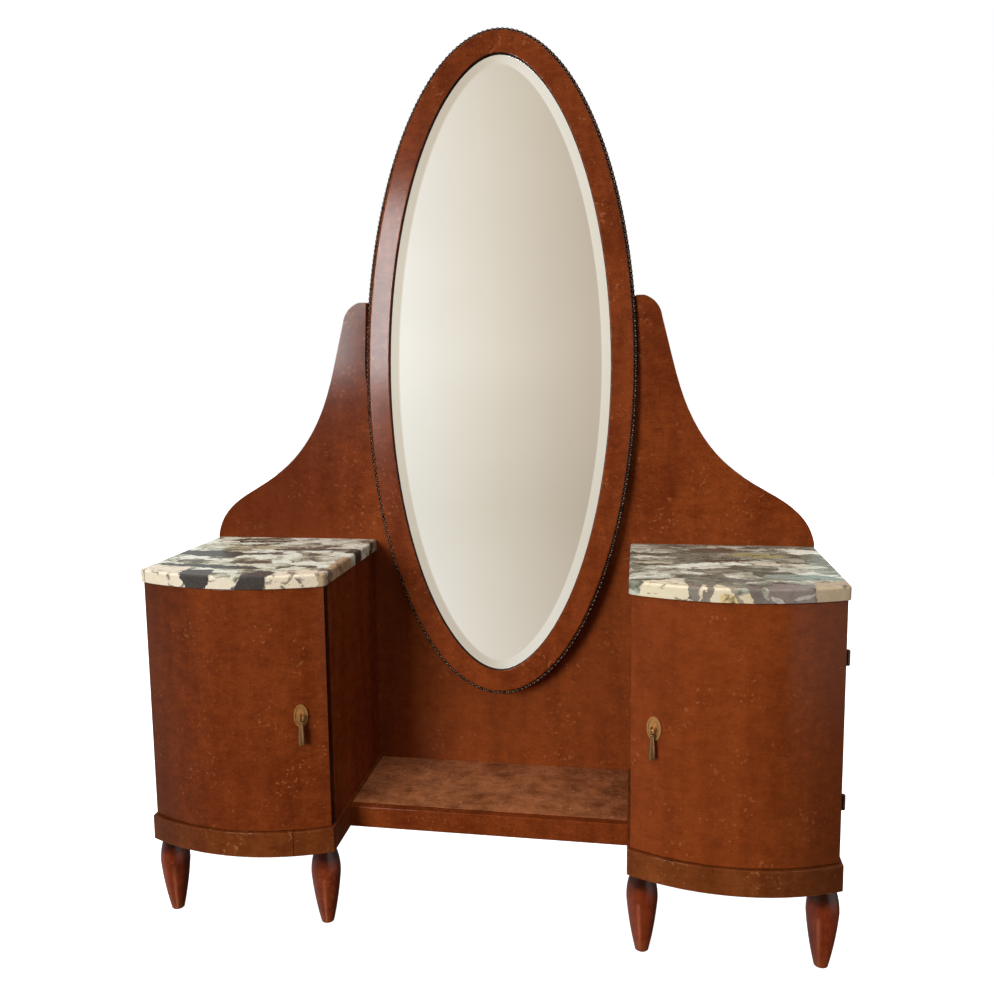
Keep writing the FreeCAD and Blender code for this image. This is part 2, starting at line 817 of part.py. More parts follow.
def mirror_frame():
    """An oval ring with softened front edges and a rebate at the back for the glass."""
    outside = rounded(mirror_oval(bead_width, frame_front, frame_back), frame_outer_round,
                      lambda edge, middle: abs(edge.CenterOfMass.y - frame_front) < TOUCH)
    ring = rounded(outside.cut(sight_oval(0, frame_front, frame_back)), frame_inner_round, is_sight_edge)
    ring = ring.cut(sight_oval(rebate_lip, lip_back, frame_back))
    for way in BOTH_WAYS:
        for head in bracket_screw_places(way):
            ring = ring.cut(bracket_screw(head, screw_fit))
    return ring


def bead_moulding():
    front = frame_front + frame_outer_round + bead_setback
    ring = mirror_oval(0, front, front + bead_depth)
    ring = rounded(ring, bead_round, lambda edge, middle: edge.BoundBox.YLength < TOUCH)
    return ring.cut(mirror_oval(bead_width, front, front + bead_depth))


def mirror_glass():
    """An oval plate bevelled all round, resting with its bevel on the back corner of the frame's lip."""
    rim = rebate_lip - glass_fit
    slope = glass_bevel_depth / (rim + glass_bevel_width)
    crown = lip_back + glass_seat - slope * glass_bevel_width
    edge = crown + glass_bevel_depth
    wires = [mirror_wire(sight_inset(rim), edge), mirror_wire(sight_inset(-glass_bevel_width), crown)]
    bevel = Part.makeLoft(wires, True, True)
    return bevel.fuse(sight_oval(rim, edge, glass_back)).removeSplitter()


def mirror_backing():
    return sight_oval(rebate_lip - glass_fit, glass_back, backing_back)


def backing_strip():
    strip = sight_oval(rebate_lip, backing_back, frame_back)
    return strip.cut(sight_oval(rebate_lip - backing_strip_width, backing_back, frame_back))


def frame_side_x():
    """Half the width of the wooden frame at the height of the pivots, from the mirror's middle."""
    share = pivot_above_centre / (mirror_half_height - bead_width)
    return (mirror_half_width - bead_width) * math.sqrt(1 - share ** 2)


def ear_x(way):
    return mirror_x + way * (frame_side_x() - bracket_edge_setback)


def pivot_bracket(way):
    """An angle bracket: a leaf on the frame's back and an ear that holds the pivot pin."""
    x_out = ear_x(way)
    x_ear = x_out - way * bracket_thickness
    x_leaf = x_out - way * bracket_leaf_width
    half = bracket_leaf_height / 2
    leaf = box(min(x_out, x_leaf), max(x_out, x_leaf), frame_back, frame_back + bracket_thickness,
               pivot_z - half, pivot_z + half)
    ear = rod(2 * bracket_ear_radius, V(min(x_out, x_ear), pivot_y, pivot_z), ACROSS, bracket_thickness)
    web = box(min(x_out, x_ear), max(x_out, x_ear), frame_back, pivot_y, pivot_z - bracket_ear_radius,
              pivot_z + bracket_ear_radius)
    bracket = leaf.fuse(ear).fuse(web).removeSplitter()
    hole = rod(pivot_pin_diameter, V(x_ear, pivot_y, pivot_z), V(way, 0, 0), bracket_thickness)
    bracket = bracket.cut(hole)
    for head in bracket_screw_places(way):
        bracket = bracket.cut(bracket_screw(head, screw_fit))
    return bracket


def bracket_screw_places(way):
    x = ear_x(way) - way * (bracket_thickness + bracket_leaf_width) / 2
    y = frame_back + bracket_thickness
    return [V(x, y, pivot_z + up * bracket_screw_spacing / 2) for up in BOTH_WAYS]


def bracket_screw(head, growth=0.0):
    return screw(bracket_screw_diameter, bracket_screw_length, head, V(0, -1, 0), growth)


def pivot_pin(way):
    start = ear_x(way) - way * bracket_thickness
    end = way * (notch_half_width + pin_engagement)
    return rod(pivot_pin_diameter, V(start, pivot_y, pivot_z), V(way, 0, 0), abs(end - start))


def pivot_bush(way):
    mouth = V(way * bush_mouth_x(), pivot_y, pivot_z)
    sleeve = rod(bush_diameter, mouth, V(way, 0, 0), bush_length)
    return sleeve.cut(rod(pivot_pin_diameter + 2 * pivot_play, mouth, V(way, 0, 0), bush_length))


# Write every piece

os.makedirs("parts", exist_ok=True)

foot_blocks = []
all_shelf_pins = []
panel_screws = []
frame_leaf_screws = []
hinge_pins = []
ball_catches = []
sides = ("left", "right")

for side in sides:
    cabinet_pieces = {
        "plinth": plinth(),
        "outer_side": outer_side(),
        "inner_side": inner_side(),
        "cabinet_floor": cabinet_board(plinth_top, plinth_top + floor_thickness),
        "cabinet_roof": cabinet_board(carcass_top - roof_thickness, carcass_top),
        "cabinet_back": cabinet_back(),
        "inner_shelf": inner_shelf(),
        "marble_top": marble(),
        "door": door(),
        "strike_plate": strike_plate(),
        "handle_plate": onto_door(side, handle_plate()),
        "handle_stud": onto_door(side, handle_stud()),
        "pull_pin": onto_door(side, pull_pin()),
        "drop_pull": onto_door(side, drop_pull()),
    }
    for name, (x, y) in foot_places().items():
        cabinet_pieces[name] = foot(x, y)
        foot_blocks.append(for_side(side, foot_block(x, y)))
    for name, piece in cabinet_pieces.items():
        export(side + "_" + name, for_side(side, piece))
    export(side + "_hinge_door_leaves", *[for_side(side, door_leaf(z)) for z in hinge_heights])
    export(side + "_hinge_frame_leaves", *[for_side(side, frame_leaf(z)) for z in hinge_heights])
    door_screws = []
    for z in hinge_heights:
        for head in leaf_screw_places(z):
            door_screws.append(for_side(side, hinge_screw(head, INTO_DOOR)))
            frame_leaf_screws.append(for_side(side, hinge_screw(head, INTO_SIDE)))
        hinge_pins.append(for_side(side, hinge_pin(z)))
    export(side + "_door_leaf_screws", *door_screws)
    all_shelf_pins.extend(for_side(side, peg) for peg in shelf_pins())
    panel_screws.extend(for_side(side, panel_screw(head)) for head in panel_screw_places())
    ball_catches.append(for_side(side, ball_catch()))

export("foot_blocks", *foot_blocks)
export("shelf_pins", *all_shelf_pins)
export("panel_screws", *panel_screws)
export("frame_leaf_screws", *frame_leaf_screws)
export("hinge_pins", *hinge_pins)
export("ball_catches", *ball_catches)
export("platform_board", platform_board())
export("platform_apron", platform_apron())
export("platform_cleats", *[for_side(side, platform_cleat()) for side in sides])
export("back_panel", back_panel())
export("mirror_frame", tilted(mirror_frame()))
export("bead_moulding", tilted(bead_moulding()))
export("mirror_glass", tilted(mirror_glass()))
export("mirror_backing", tilted(mirror_backing()))
export("backing_strip", tilted(backing_strip()))
export("pivot_brackets", *[tilted(pivot_bracket(way)) for way in BOTH_WAYS])
export("pivot_pins", *[tilted(pivot_pin(way)) for way in BOTH_WAYS])
export("pivot_bushes", *[pivot_bush(way) for way in BOTH_WAYS])
bracket_heads = [head for way in BOTH_WAYS for head in bracket_screw_places(way)]
export("bracket_screws", *[tilted(bracket_screw(head)) for head in bracket_heads])
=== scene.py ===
import math
import bpy
import bmesh
from mathutils import Matrix, Vector


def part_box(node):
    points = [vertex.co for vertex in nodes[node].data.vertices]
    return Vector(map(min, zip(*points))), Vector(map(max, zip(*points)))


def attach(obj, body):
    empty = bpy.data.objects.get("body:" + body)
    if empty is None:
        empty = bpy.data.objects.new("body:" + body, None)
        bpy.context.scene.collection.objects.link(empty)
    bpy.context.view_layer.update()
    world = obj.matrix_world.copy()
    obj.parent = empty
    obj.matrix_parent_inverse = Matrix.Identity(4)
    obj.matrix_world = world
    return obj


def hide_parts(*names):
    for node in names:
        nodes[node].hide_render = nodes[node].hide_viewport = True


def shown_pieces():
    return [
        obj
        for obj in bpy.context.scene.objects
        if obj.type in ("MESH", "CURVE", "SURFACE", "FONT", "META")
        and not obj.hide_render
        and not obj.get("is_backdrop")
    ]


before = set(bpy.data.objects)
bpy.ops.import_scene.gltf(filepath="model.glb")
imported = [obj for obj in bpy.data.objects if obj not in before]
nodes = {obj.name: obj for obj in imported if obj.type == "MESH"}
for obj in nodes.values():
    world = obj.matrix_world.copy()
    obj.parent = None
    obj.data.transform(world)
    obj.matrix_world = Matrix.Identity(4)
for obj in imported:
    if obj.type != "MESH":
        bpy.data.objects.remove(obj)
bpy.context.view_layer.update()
scene = bpy.context.scene

# Sizes in metres, which agree with the solids

PANEL_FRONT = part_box("back_panel")[0][1]
PIVOT = Vector((0, PANEL_FRONT + 0.013, 1.150))
REST_TILT = math.radians(-3.4)
LEAN = Matrix.Translation(PIVOT) @ Matrix.Rotation(REST_TILT, 4, "X") @ Matrix.Translation(-PIVOT)
OVAL_CENTRE = Vector((0.0029, 0, 1.1225))
OVAL_HALF = (0.301, 0.727)
OVAL_SEGMENTS = 288
FRAME_FRONT = PANEL_FRONT - 0.026
FRAME_LIP_BACK = FRAME_FRONT + 0.0065
SIGHT_INSET = 0.057
STONE_FACE = 0.735

BEAD_COUNT = 316
BEAD_INSET = 0.0042
BEAD_HALF = (0.0047, 0.0038, 0.0038)
FILLET_FRONT = FRAME_FRONT + 0.0105
FILLET_BACK = FRAME_FRONT + 0.0148

GLASS_BEVEL_WIDTH = 0.020
GLASS_OVERLAP = 0.0095
GLASS_BACK = FRAME_LIP_BACK + 0.0047
GLASS_BEVEL_SLOPE = math.tan(math.radians(6.5))

MERGE_DISTANCE = 1e-6
FLAT_ANGLE = math.radians(0.5)
SHARP_ANGLE = math.radians(35)
CARCASS_EASING = 0.0011
PLATFORM_EASING = 0.0008


# Node helpers

def add(tree, kind, inputs=None, **settings):
    """A node with its settings, its inputs set or linked."""
    made = tree.nodes.new(kind)
    for name, value in settings.items():
        setattr(made, name, value)
    for name, value in (inputs or {}).items():
        feed(tree, made.inputs[name], value)
    return made


def feed(tree, socket, value):
    """Link a socket to another, or set it to a plain value."""
    if isinstance(value, bpy.types.NodeSocket):
        tree.links.new(value, socket)
    else:
        socket.default_value = value


def maths(tree, operation, a, b=0.0, clamp=False):
    made = add(tree, "ShaderNodeMath", {0: a, 1: b}, operation=operation)
    made.use_clamp = clamp
    return made.outputs[0]


def vector_maths(tree, operation, a, b=None):
    inputs = {0: a} if b is None else {0: a, 1: b}
    return add(tree, "ShaderNodeVectorMath", inputs, operation=operation).outputs


def blend(tree, factor, under, over, mode="MIX"):
    made = add(tree, "ShaderNodeMix", {0: factor, 6: under, 7: over}, data_type="RGBA", blend_type=mode)
    return made.outputs[2]


def between(tree, value, low, high, to_low=0.0, to_high=1.0, easing="SMOOTHSTEP"):
    """The value's place between two bounds, held at both ends."""
    return add(tree, "ShaderNodeMapRange", {0: value, 1: low, 2: high, 3: to_low, 4: to_high},
               interpolation_type=easing).outputs[0]


def noise(tree, place, scale, detail=2.0, rough=0.5, warp=0.0):
    made = add(tree, "ShaderNodeTexNoise",
               {"Vector": place, "Scale": scale, "Detail": detail, "Roughness": rough, "Distortion": warp})
    return made.outputs[0]


def ramp(tree, value, stops):
    """Colours that follow a value, each stop a position and a colour."""
    made = add(tree, "ShaderNodeValToRGB", {0: value})
    elements = made.color_ramp.elements
    while len(elements) < len(stops):
        elements.new(1.0)
    for element, (position, colour) in zip(elements, stops):
        element.position = position
        element.color = (*colour, 1.0)
    return made.outputs[0]


def grey(level):
    return (level, level, level)


def on_axes(tree, place):
    """The three parts of a place or a direction."""
    return add(tree, "ShaderNodeSeparateXYZ", {0: place}).outputs


def facing(tree):
    """The three parts of the direction in which the surface faces."""
    return on_axes(tree, add(tree, "ShaderNodeTexCoord").outputs["Normal"])


def new_group(name, inputs, outputs):
    """An empty node group, with its inner ends."""
    tree = bpy.data.node_groups.new(name, "ShaderNodeTree")
    for label, kind, value in inputs:
        socket = tree.interface.new_socket(name=label, in_out="INPUT", socket_type="NodeSocket" + kind)
        if value is not None:
            socket.default_value = value
    for label, kind in outputs:
        tree.interface.new_socket(name=label, in_out="OUTPUT", socket_type="NodeSocket" + kind)
    return tree, tree.nodes.new("NodeGroupInput").outputs, tree.nodes.new("NodeGroupOutput").inputs


def use_group(tree, group, inputs):
    made = tree.nodes.new("ShaderNodeGroup")
    made.node_tree = group
    for name, value in inputs.items():
        feed(tree, made.inputs[name], value)
    return made.outputs


# Shared effects

def make_wood_figure():
    """Mottled figure with fine light flecks and dark pores; Grain is stretched along the fibres."""
    tree, given, result = new_group(
        "wood_figure",
        [("Place", "Vector", None), ("Grain", "Vector", None), ("Dark", "Color", None),
         ("Light", "Color", None), ("Fleck", "Color", None), ("Fleck Amount", "Float", 0.5),
         ("Pore Amount", "Float", 0.5)],
        [("Color", "Color"), ("Figure", "Float"), ("Height", "Float")])
    place, grain = given["Place"], given["Grain"]
    blotch = noise(tree, place, 8.0, detail=6.0, rough=0.62)
    mottle = noise(tree, place, 40.0, detail=3.0, rough=0.6)
    ripple = noise(tree, grain, 30.0, detail=3.0, rough=0.55, warp=0.6)
    streak = noise(tree, grain, 95.0, rough=0.6)
    upright = add(tree, "ShaderNodeMapping", {"Vector": place, "Scale": (1.0, 1.0, 0.13)}).outputs[0]
    stripe = noise(tree, upright, 17.0, detail=4.0, rough=0.6)
    mixed = maths(tree, "MULTIPLY", blotch, 0.18)
    for part, share in ((mottle, 0.20), (stripe, 0.34), (ripple, 0.16), (streak, 0.12)):
        mixed = maths(tree, "ADD", mixed, maths(tree, "MULTIPLY", part, share))
    figure = between(tree, mixed, 0.34, 0.66)
    tone = blend(tree, figure, given["Dark"], given["Light"])
    ticks = between(tree, noise(tree, place, 125.0, detail=1.0), 0.60, 0.74)
    patchy = between(tree, noise(tree, place, 14.0, detail=3.0), 0.46, 0.64)
    fleck = maths(tree, "MULTIPLY", maths(tree, "MULTIPLY", ticks, patchy), given["Fleck Amount"])
    cells = add(tree, "ShaderNodeTexVoronoi", {"Vector": place, "Scale": 150.0})
    chosen = add(tree, "ShaderNodeSeparateColor", {0: cells.outputs["Color"]}).outputs[0]
    dots = maths(tree, "MULTIPLY", between(tree, cells.outputs["Distance"], 0.30, 0.16),
                 maths(tree, "GREATER_THAN", chosen, 0.90))
    half = maths(tree, "MULTIPLY", given["Fleck Amount"], 0.5)
    lights = maths(tree, "MAXIMUM", fleck, maths(tree, "MULTIPLY", dots, half))
    flecked = blend(tree, lights, tone, given["Fleck"])
    pores = between(tree, noise(tree, grain, 240.0, detail=1.0), 0.38, 0.30)
    depth = maths(tree, "MULTIPLY", pores, given["Pore Amount"])
    pore_tone = (0.012, 0.003, 0.001, 1.0)
    feed(tree, result["Color"], blend(tree, depth, flecked, pore_tone))
    feed(tree, result["Figure"], figure)
    feed(tree, result["Height"], maths(tree, "SUBTRACT", maths(tree, "MULTIPLY", streak, 0.4), depth))
    return tree


def make_tone_level():
    """A tone that takes over along an axis from Start to End, with a patchy edge."""
    tree, given, result = new_group(
        "tone_level",
        [("Color", "Color", None), ("Place", "Vector", None), ("Along", "Float", 0.0),
         ("Start", "Float", 0.0), ("End", "Float", 1.0), ("Amount", "Float", 0.5), ("Tone", "Color", None)],
        [("Color", "Color")])
    patchy = noise(tree, given["Place"], 70.0, detail=4.0, rough=0.65)
    width = maths(tree, "SUBTRACT", given["End"], given["Start"])
    stray = maths(tree, "MULTIPLY", maths(tree, "SUBTRACT", patchy, 0.5), width)
    along = maths(tree, "ADD", given["Along"], stray)
    share = between(tree, along, given["Start"], given["End"], 0.0, given["Amount"])
    feed(tree, result["Color"], blend(tree, share, given["Color"], given["Tone"]))
    return tree


def make_edge_wear():
    """A broken mask along outside edges, where handling has worn the finish."""
    tree, given, result = new_group(
        "edge_wear",
        [("Place", "Vector", None), ("Scale", "Float", 60.0), ("Amount", "Float", 0.5)],
        [("Mask", "Float")])
    rounded = add(tree, "ShaderNodeBevel", {"Radius": 0.0022}, samples=4).outputs[0]
    plain = add(tree, "ShaderNodeNewGeometry").outputs["Normal"]
    edge = between(tree, vector_maths(tree, "DOT_PRODUCT", rounded, plain)["Value"], 0.985, 0.90)
    broken = between(tree, noise(tree, given["Place"], given["Scale"], detail=4.0, rough=0.65), 0.50, 0.66)
    worn = maths(tree, "MULTIPLY", edge, broken)
    feed(tree, result["Mask"], maths(tree, "MULTIPLY", worn, given["Amount"]))
    return tree


def make_stone_drift():
    """Broken stone: the tone of each piece, the thin cracks between pieces and the stirred place."""
    tree, given, result = new_group(
        "stone_drift",
        [("Place", "Vector", None), ("Stretch", "Vector", None), ("Scale", "Float", 20.0)],
        [("Layer", "Float"), ("Crack", "Float"), ("Stirred", "Vector")])
    place, scale = given["Place"], given["Scale"]
    stir = add(tree, "ShaderNodeTexNoise", {"Vector": place, "Scale": 30.0, "Detail": 4.0, "Roughness": 0.6})
    centred = vector_maths(tree, "SUBTRACT", stir.outputs["Color"], (0.5, 0.5, 0.5))[0]
    shift = vector_maths(tree, "MULTIPLY", centred, (0.046, 0.038, 0.024))[0]
    stirred = vector_maths(tree, "ADD", place, shift)[0]
    drawn = add(tree, "ShaderNodeMapping", {"Vector": stirred, "Scale": given["Stretch"]}).outputs[0]
    shards = add(tree, "ShaderNodeTexVoronoi", {"Vector": drawn, "Scale": scale})
    chance = add(tree, "ShaderNodeSeparateColor", {0: shards.outputs["Color"]}).outputs[0]
    flow = noise(tree, drawn, maths(tree, "MULTIPLY", scale, 0.9), detail=3.0, rough=0.55)
    flow = between(tree, flow, 0.28, 0.72)
    gap = add(tree, "ShaderNodeTexVoronoi", {"Vector": drawn, "Scale": scale}, feature="DISTANCE_TO_EDGE")
    layer = maths(tree, "ADD", maths(tree, "MULTIPLY", chance, 0.58), maths(tree, "MULTIPLY", flow, 0.42))
    feed(tree, result["Layer"], layer)
    feed(tree, result["Crack"], between(tree, gap.outputs["Distance"], 0.075, 0.015))
    feed(tree, result["Stirred"], stirred)
    return tree


def make_stone_fragment():
    """A mask for one large stone, set by its centre, reach and turn; Block squares its corners."""
    tree, given, result = new_group(
        "stone_fragment",
        [("Place", "Vector", None), ("Centre", "Vector", None), ("Turn", "Vector", None),
         ("Reach", "Vector", None), ("Block", "Float", 0.0)],
        [("Mask", "Float")])
    local = add(tree, "ShaderNodeMapping",
                {"Vector": given["Place"], "Location": given["Centre"], "Rotation": given["Turn"],
                 "Scale": given["Reach"]}, vector_type="TEXTURE").outputs[0]
    round_reach = vector_maths(tree, "LENGTH", local)["Value"]
    sides = on_axes(tree, vector_maths(tree, "ABSOLUTE", local)[0])
    square_reach = maths(tree, "MAXIMUM", maths(tree, "MAXIMUM", sides[0], sides[1]), sides[2])
    reach = add(tree, "ShaderNodeMix", {0: given["Block"], 2: round_reach, 3: square_reach}).outputs[0]
    feed(tree, result["Mask"], between(tree, reach, 1.03, 0.95))
    return tree


def make_tarnish():
    """Darkening that gathers in the hollows, with a mottled edge."""
    tree, given, result = new_group(
        "tarnish", [("Place", "Vector", None), ("Amount", "Float", 0.5)], [("Mask", "Float")])
    hollow = add(tree, "ShaderNodeAmbientOcclusion", {"Distance": 0.006}, samples=6).outputs["AO"]
    spots = noise(tree, given["Place"], 420.0, detail=4.0, rough=0.6)
    gathered = maths(tree, "ADD", between(tree, hollow, 0.85, 0.30), between(tree, spots, 0.48, 0.72))
    feed(tree, result["Mask"], maths(tree, "MULTIPLY", gathered, given["Amount"], clamp=True))
    return tree


WOOD_FIGURE = make_wood_figure()
TONE_LEVEL = make_tone_level()
EDGE_WEAR = make_edge_wear()
STONE_DRIFT = make_stone_drift()
STONE_FRAGMENT = make_stone_fragment()
TARNISH = make_tarnish()


# Materials

def new_material(name, **sockets):
    """A material with plain values set on its shader."""
    made = bpy.data.materials.new(name)
    made.use_nodes = True
    tree = made.node_tree
    shader = tree.nodes["Principled BSDF"]
    for socket, value in sockets.items():
        shader.inputs[socket.replace("_", " ")].default_value = value
    place = tree.nodes.new("ShaderNodeTexCoord").outputs["Object"]
    return made, tree, shader.inputs, place


def bumped(tree, height, strength, distance):
    return add(tree, "ShaderNodeBump",
               {"Strength": strength, "Distance": distance, "Height": height}).outputs[0]


def wood(name, grain, dark, light, fleck, flecks=0.5, pores=0.5, worn=(0.30, 0.12, 0.045), wear=0.5,
         rough=(0.42, 0.52), coat=0.16, coat_rough=0.14, seams=(), levels=(), painted_gap_shadow=False):
    """Lacquered wood. Grain stretches the figure along the fibres and seams are joints across X. Levels
    are rows of axis, start, end, amount and tone; several of them are painted shade and painted light.
    The flag for upright side edges paints them near black as the shadow in the gap beside a door."""
    made, tree, shader, place = new_material(name, Coat_Weight=coat, Coat_Roughness=coat_rough,
                                             Specular_IOR_Level=0.015)
    along = add(tree, "ShaderNodeMapping", {"Vector": place, "Scale": grain}).outputs[0]
    figure = use_group(tree, WOOD_FIGURE, {
        "Place": place, "Grain": along, "Dark": (*dark, 1), "Light": (*light, 1), "Fleck": (*fleck, 1),
        "Fleck Amount": flecks, "Pore Amount": pores})
    colour = figure["Color"]
    for axis, start, end, amount, tone in levels:
        colour = use_group(tree, TONE_LEVEL, {
            "Color": colour, "Place": place, "Along": on_axes(tree, place)[axis], "Start": start, "End": end,
            "Amount": amount, "Tone": (*tone, 1)})["Color"]
    # Painted shadow: near-black upright side edges stand in for the shadow in the gap beside each door.
    if painted_gap_shadow:
        sideways = maths(tree, "ABSOLUTE", facing(tree)[0])
        gap_shadow_tone = (0.012, 0.004, 0.002, 1)
        colour = blend(tree, between(tree, sideways, 0.90, 0.97, 0.0, 0.9), colour, gap_shadow_tone)
    edges = use_group(tree, EDGE_WEAR, {"Place": place, "Amount": wear})["Mask"]
    colour = blend(tree, edges, colour, (*worn, 1))
    for seam in seams:
        offset = maths(tree, "ABSOLUTE", maths(tree, "SUBTRACT", on_axes(tree, place)[0], seam))
        seam_tone = (0.03, 0.008, 0.002, 1)
        colour = blend(tree, between(tree, offset, 0.0011, 0.0003), colour, seam_tone)
    feed(tree, shader["Base Color"], colour)
    feed(tree, shader["Roughness"], between(tree, figure["Figure"], 0.0, 1.0, rough[1], rough[0]))
    feed(tree, shader["Normal"], bumped(tree, figure["Height"], 0.25, 0.0004))
    return made


def marble(name, scale, stretch, bands, crack_tone, fragments):
    """Broken marble drawn out along X, with a few large stones set in it. Bands are rows of first and last
    layer and tone; fragments are rows of centre, reach, turn in degrees, blockiness and tone."""
    made, tree, shader, place = new_material(name, Coat_Weight=0.1, Coat_Roughness=0.12,
                                             Specular_IOR_Level=0.2)
    drift = use_group(tree, STONE_DRIFT, {"Place": place, "Stretch": stretch, "Scale": scale})
    stops = [(layer, tone) for first, last, tone in bands for layer in dict.fromkeys((first, last))]
    colour = ramp(tree, drift["Layer"], stops)
    for centre, reach, turn, block, tone in fragments:
        mask = use_group(tree, STONE_FRAGMENT, {
            "Place": drift["Stirred"], "Centre": centre, "Reach": reach, "Block": block,
            "Turn": tuple(math.radians(angle) for angle in turn)})
        colour = blend(tree, mask["Mask"], colour, (*tone, 1))
    cloud = noise(tree, place, 60.0, detail=6.0, rough=0.66, warp=0.8)
    shade = ramp(tree, cloud, [(0.28, (0.34, 0.34, 0.33)), (0.72, (0.68, 0.67, 0.64))])
    colour = blend(tree, 0.7, colour, shade, "SOFT_LIGHT")
    broken = between(tree, noise(tree, place, 38.0, detail=3.0), 0.46, 0.60)
    cracks = maths(tree, "MULTIPLY", drift["Crack"], broken)
    colour = blend(tree, maths(tree, "MULTIPLY", cracks, 0.8), colour, (*crack_tone, 1))
    specks = between(tree, noise(tree, place, 260.0, rough=0.7), 0.66, 0.74)
    speck_tone = (0.05, 0.035, 0.03, 1)
    colour = blend(tree, maths(tree, "MULTIPLY", specks, 0.6), colour, speck_tone)
    chips = use_group(tree, EDGE_WEAR, {"Place": place, "Scale": 120.0, "Amount": 0.5})["Mask"]
    chip_tone = (0.88, 0.80, 0.68, 1)
    feed(tree, shader["Base Color"], blend(tree, chips, colour, chip_tone))
    feed(tree, shader["Roughness"], between(tree, cloud, 0.3, 0.7, 0.20, 0.34))
    feed(tree, shader["Normal"], bumped(tree, maths(tree, "ADD", specks, cracks), 0.2, -0.0004))
    return made


def metal(name, bright, dull, rough, tarnished, metallic):
    """Old metal that dulls as it tarnishes, with fine scratches."""
    made, tree, shader, place = new_material(name, Metallic=metallic)
    tarnish = use_group(tree, TARNISH, {"Place": place, "Amount": tarnished})["Mask"]
    feed(tree, shader["Base Color"], blend(tree, tarnish, (*bright, 1), (*dull, 1)))
    feed(tree, shader["Roughness"], between(tree, tarnish, 0.0, 1.0, rough[0], rough[1]))
    scratches = noise(tree, place, 900.0, detail=3.0, rough=0.6)
    feed(tree, shader["Normal"], bumped(tree, scratches, 0.12, 0.0002))
    return made


def ebonised_wood():
    """Blackened wood, pale on the front of each crown, as rubbed wear and as a painted highlight."""
    made, tree, shader, place = new_material("ebonised_wood", Specular_IOR_Level=0.05)
    rubbed = noise(tree, place, 170.0, detail=3.0, rough=0.6)
    colour = ramp(tree, rubbed, [(0.35, (0.006, 0.004, 0.003)), (0.62, (0.016, 0.009, 0.006)),
                                 (0.80, (0.070, 0.028, 0.012))])
    # Painted highlight and wear: front-facing crowns turn pale.
    forward = between(tree, facing(tree)[1], -0.90, -0.97)
    crown = maths(tree, "MULTIPLY", forward, between(tree, rubbed, 0.34, 0.52))
    crown_wear_and_highlight_tone = (0.40, 0.25, 0.17, 1)
    feed(tree, shader["Base Color"], blend(tree, crown, colour, crown_wear_and_highlight_tone))
    feed(tree, shader["Roughness"], between(tree, rubbed, 0.3, 0.7, 0.28, 0.45))
    feed(tree, shader["Normal"], bumped(tree, rubbed, 0.1, 0.0003))
    return made


def black_edge():
    """The black paint on the frame's inner edge."""
    made, tree, shader, place = new_material("black_edge", Specular_IOR_Level=0.2)
    feed(tree, shader["Base Color"], ramp(tree, noise(tree, place, 120.0, detail=3.0), [
        (0.35, (0.006, 0.003, 0.002)), (0.75, (0.020, 0.008, 0.004))]))
    feed(tree, shader["Roughness"], between(tree, noise(tree, place, 60.0), 0.3, 0.7, 0.45, 0.6))
    return made


def clear_glass():
    """The mirror's glass, faintly smeared."""
    made, tree, shader, place = new_material("clear_glass", IOR=1.52, Transmission_Weight=1.0)
    smear = noise(tree, place, 6.0, detail=3.0)
    feed(tree, shader["Base Color"], ramp(tree, smear, [
        (0.3, (0.980, 0.982, 0.972)), (0.7, (0.992, 0.993, 0.984))]))
    feed(tree, shader["Roughness"], between(tree, smear, 0.55, 0.85, 0.0, 0.012))
    return made


def old_silver():
    """The silver behind the glass, a little bloomed and spotted."""
    made, tree, shader, place = new_material("old_silver", Metallic=1.0)
    bloom = noise(tree, place, 5.0, detail=4.0, rough=0.6)
    spots = between(tree, noise(tree, place, 210.0), 0.76, 0.80)
    colour = ramp(tree, bloom, [(0.3, (0.93, 0.925, 0.905)), (0.7, (0.955, 0.95, 0.935))])
    spot_tone = (0.3, 0.27, 0.22, 1)
    feed(tree, shader["Base Color"], blend(tree, maths(tree, "MULTIPLY", spots, 0.25), colour, spot_tone))
    feed(tree, shader["Roughness"], between(tree, bloom, 0.4, 0.8, 0.0, 0.02))
    return made


def pale_floor():
    """A white studio floor that brightens away from the table."""
    made, tree, shader, place = new_material("pale_floor", Roughness=0.85, Emission_Color=(1, 1, 1, 1))
    grain = noise(tree, place, 3.0, detail=3.0)
    feed(tree, shader["Base Color"], ramp(tree, grain, [(0.3, grey(0.84)), (0.7, grey(0.88))]))
    far = vector_maths(tree, "LENGTH", place)["Value"]
    feed(tree, shader["Emission Strength"], between(tree, far, 0.7, 2.4, 0.88, 1.0))
    return made


ACROSS, UP = 0, 2
UPRIGHT = (1.0, 1.0, 2.6)
LEVEL = (1.0, 3.0, 1.0)
TURNED = (5.0, 5.0, 1.0)
PLAIN = (5.0, 1.0, 1.0)
# Painted shade: the outer ends of the doors and plinths darkened and greyed where the fronts turn from the
# light.
PAINTED_OUTER_SHADE = tuple((ACROSS, side * 0.50, side * 0.672, 0.52, (0.050, 0.014, 0.005)) for side in (-1, 1))
PLINTH_SEAM = -0.3637
VENEER = {"dark": (0.138, 0.0226, 0.0040), "light": (0.312, 0.0640, 0.0130), "fleck": (0.46, 0.150, 0.052)}

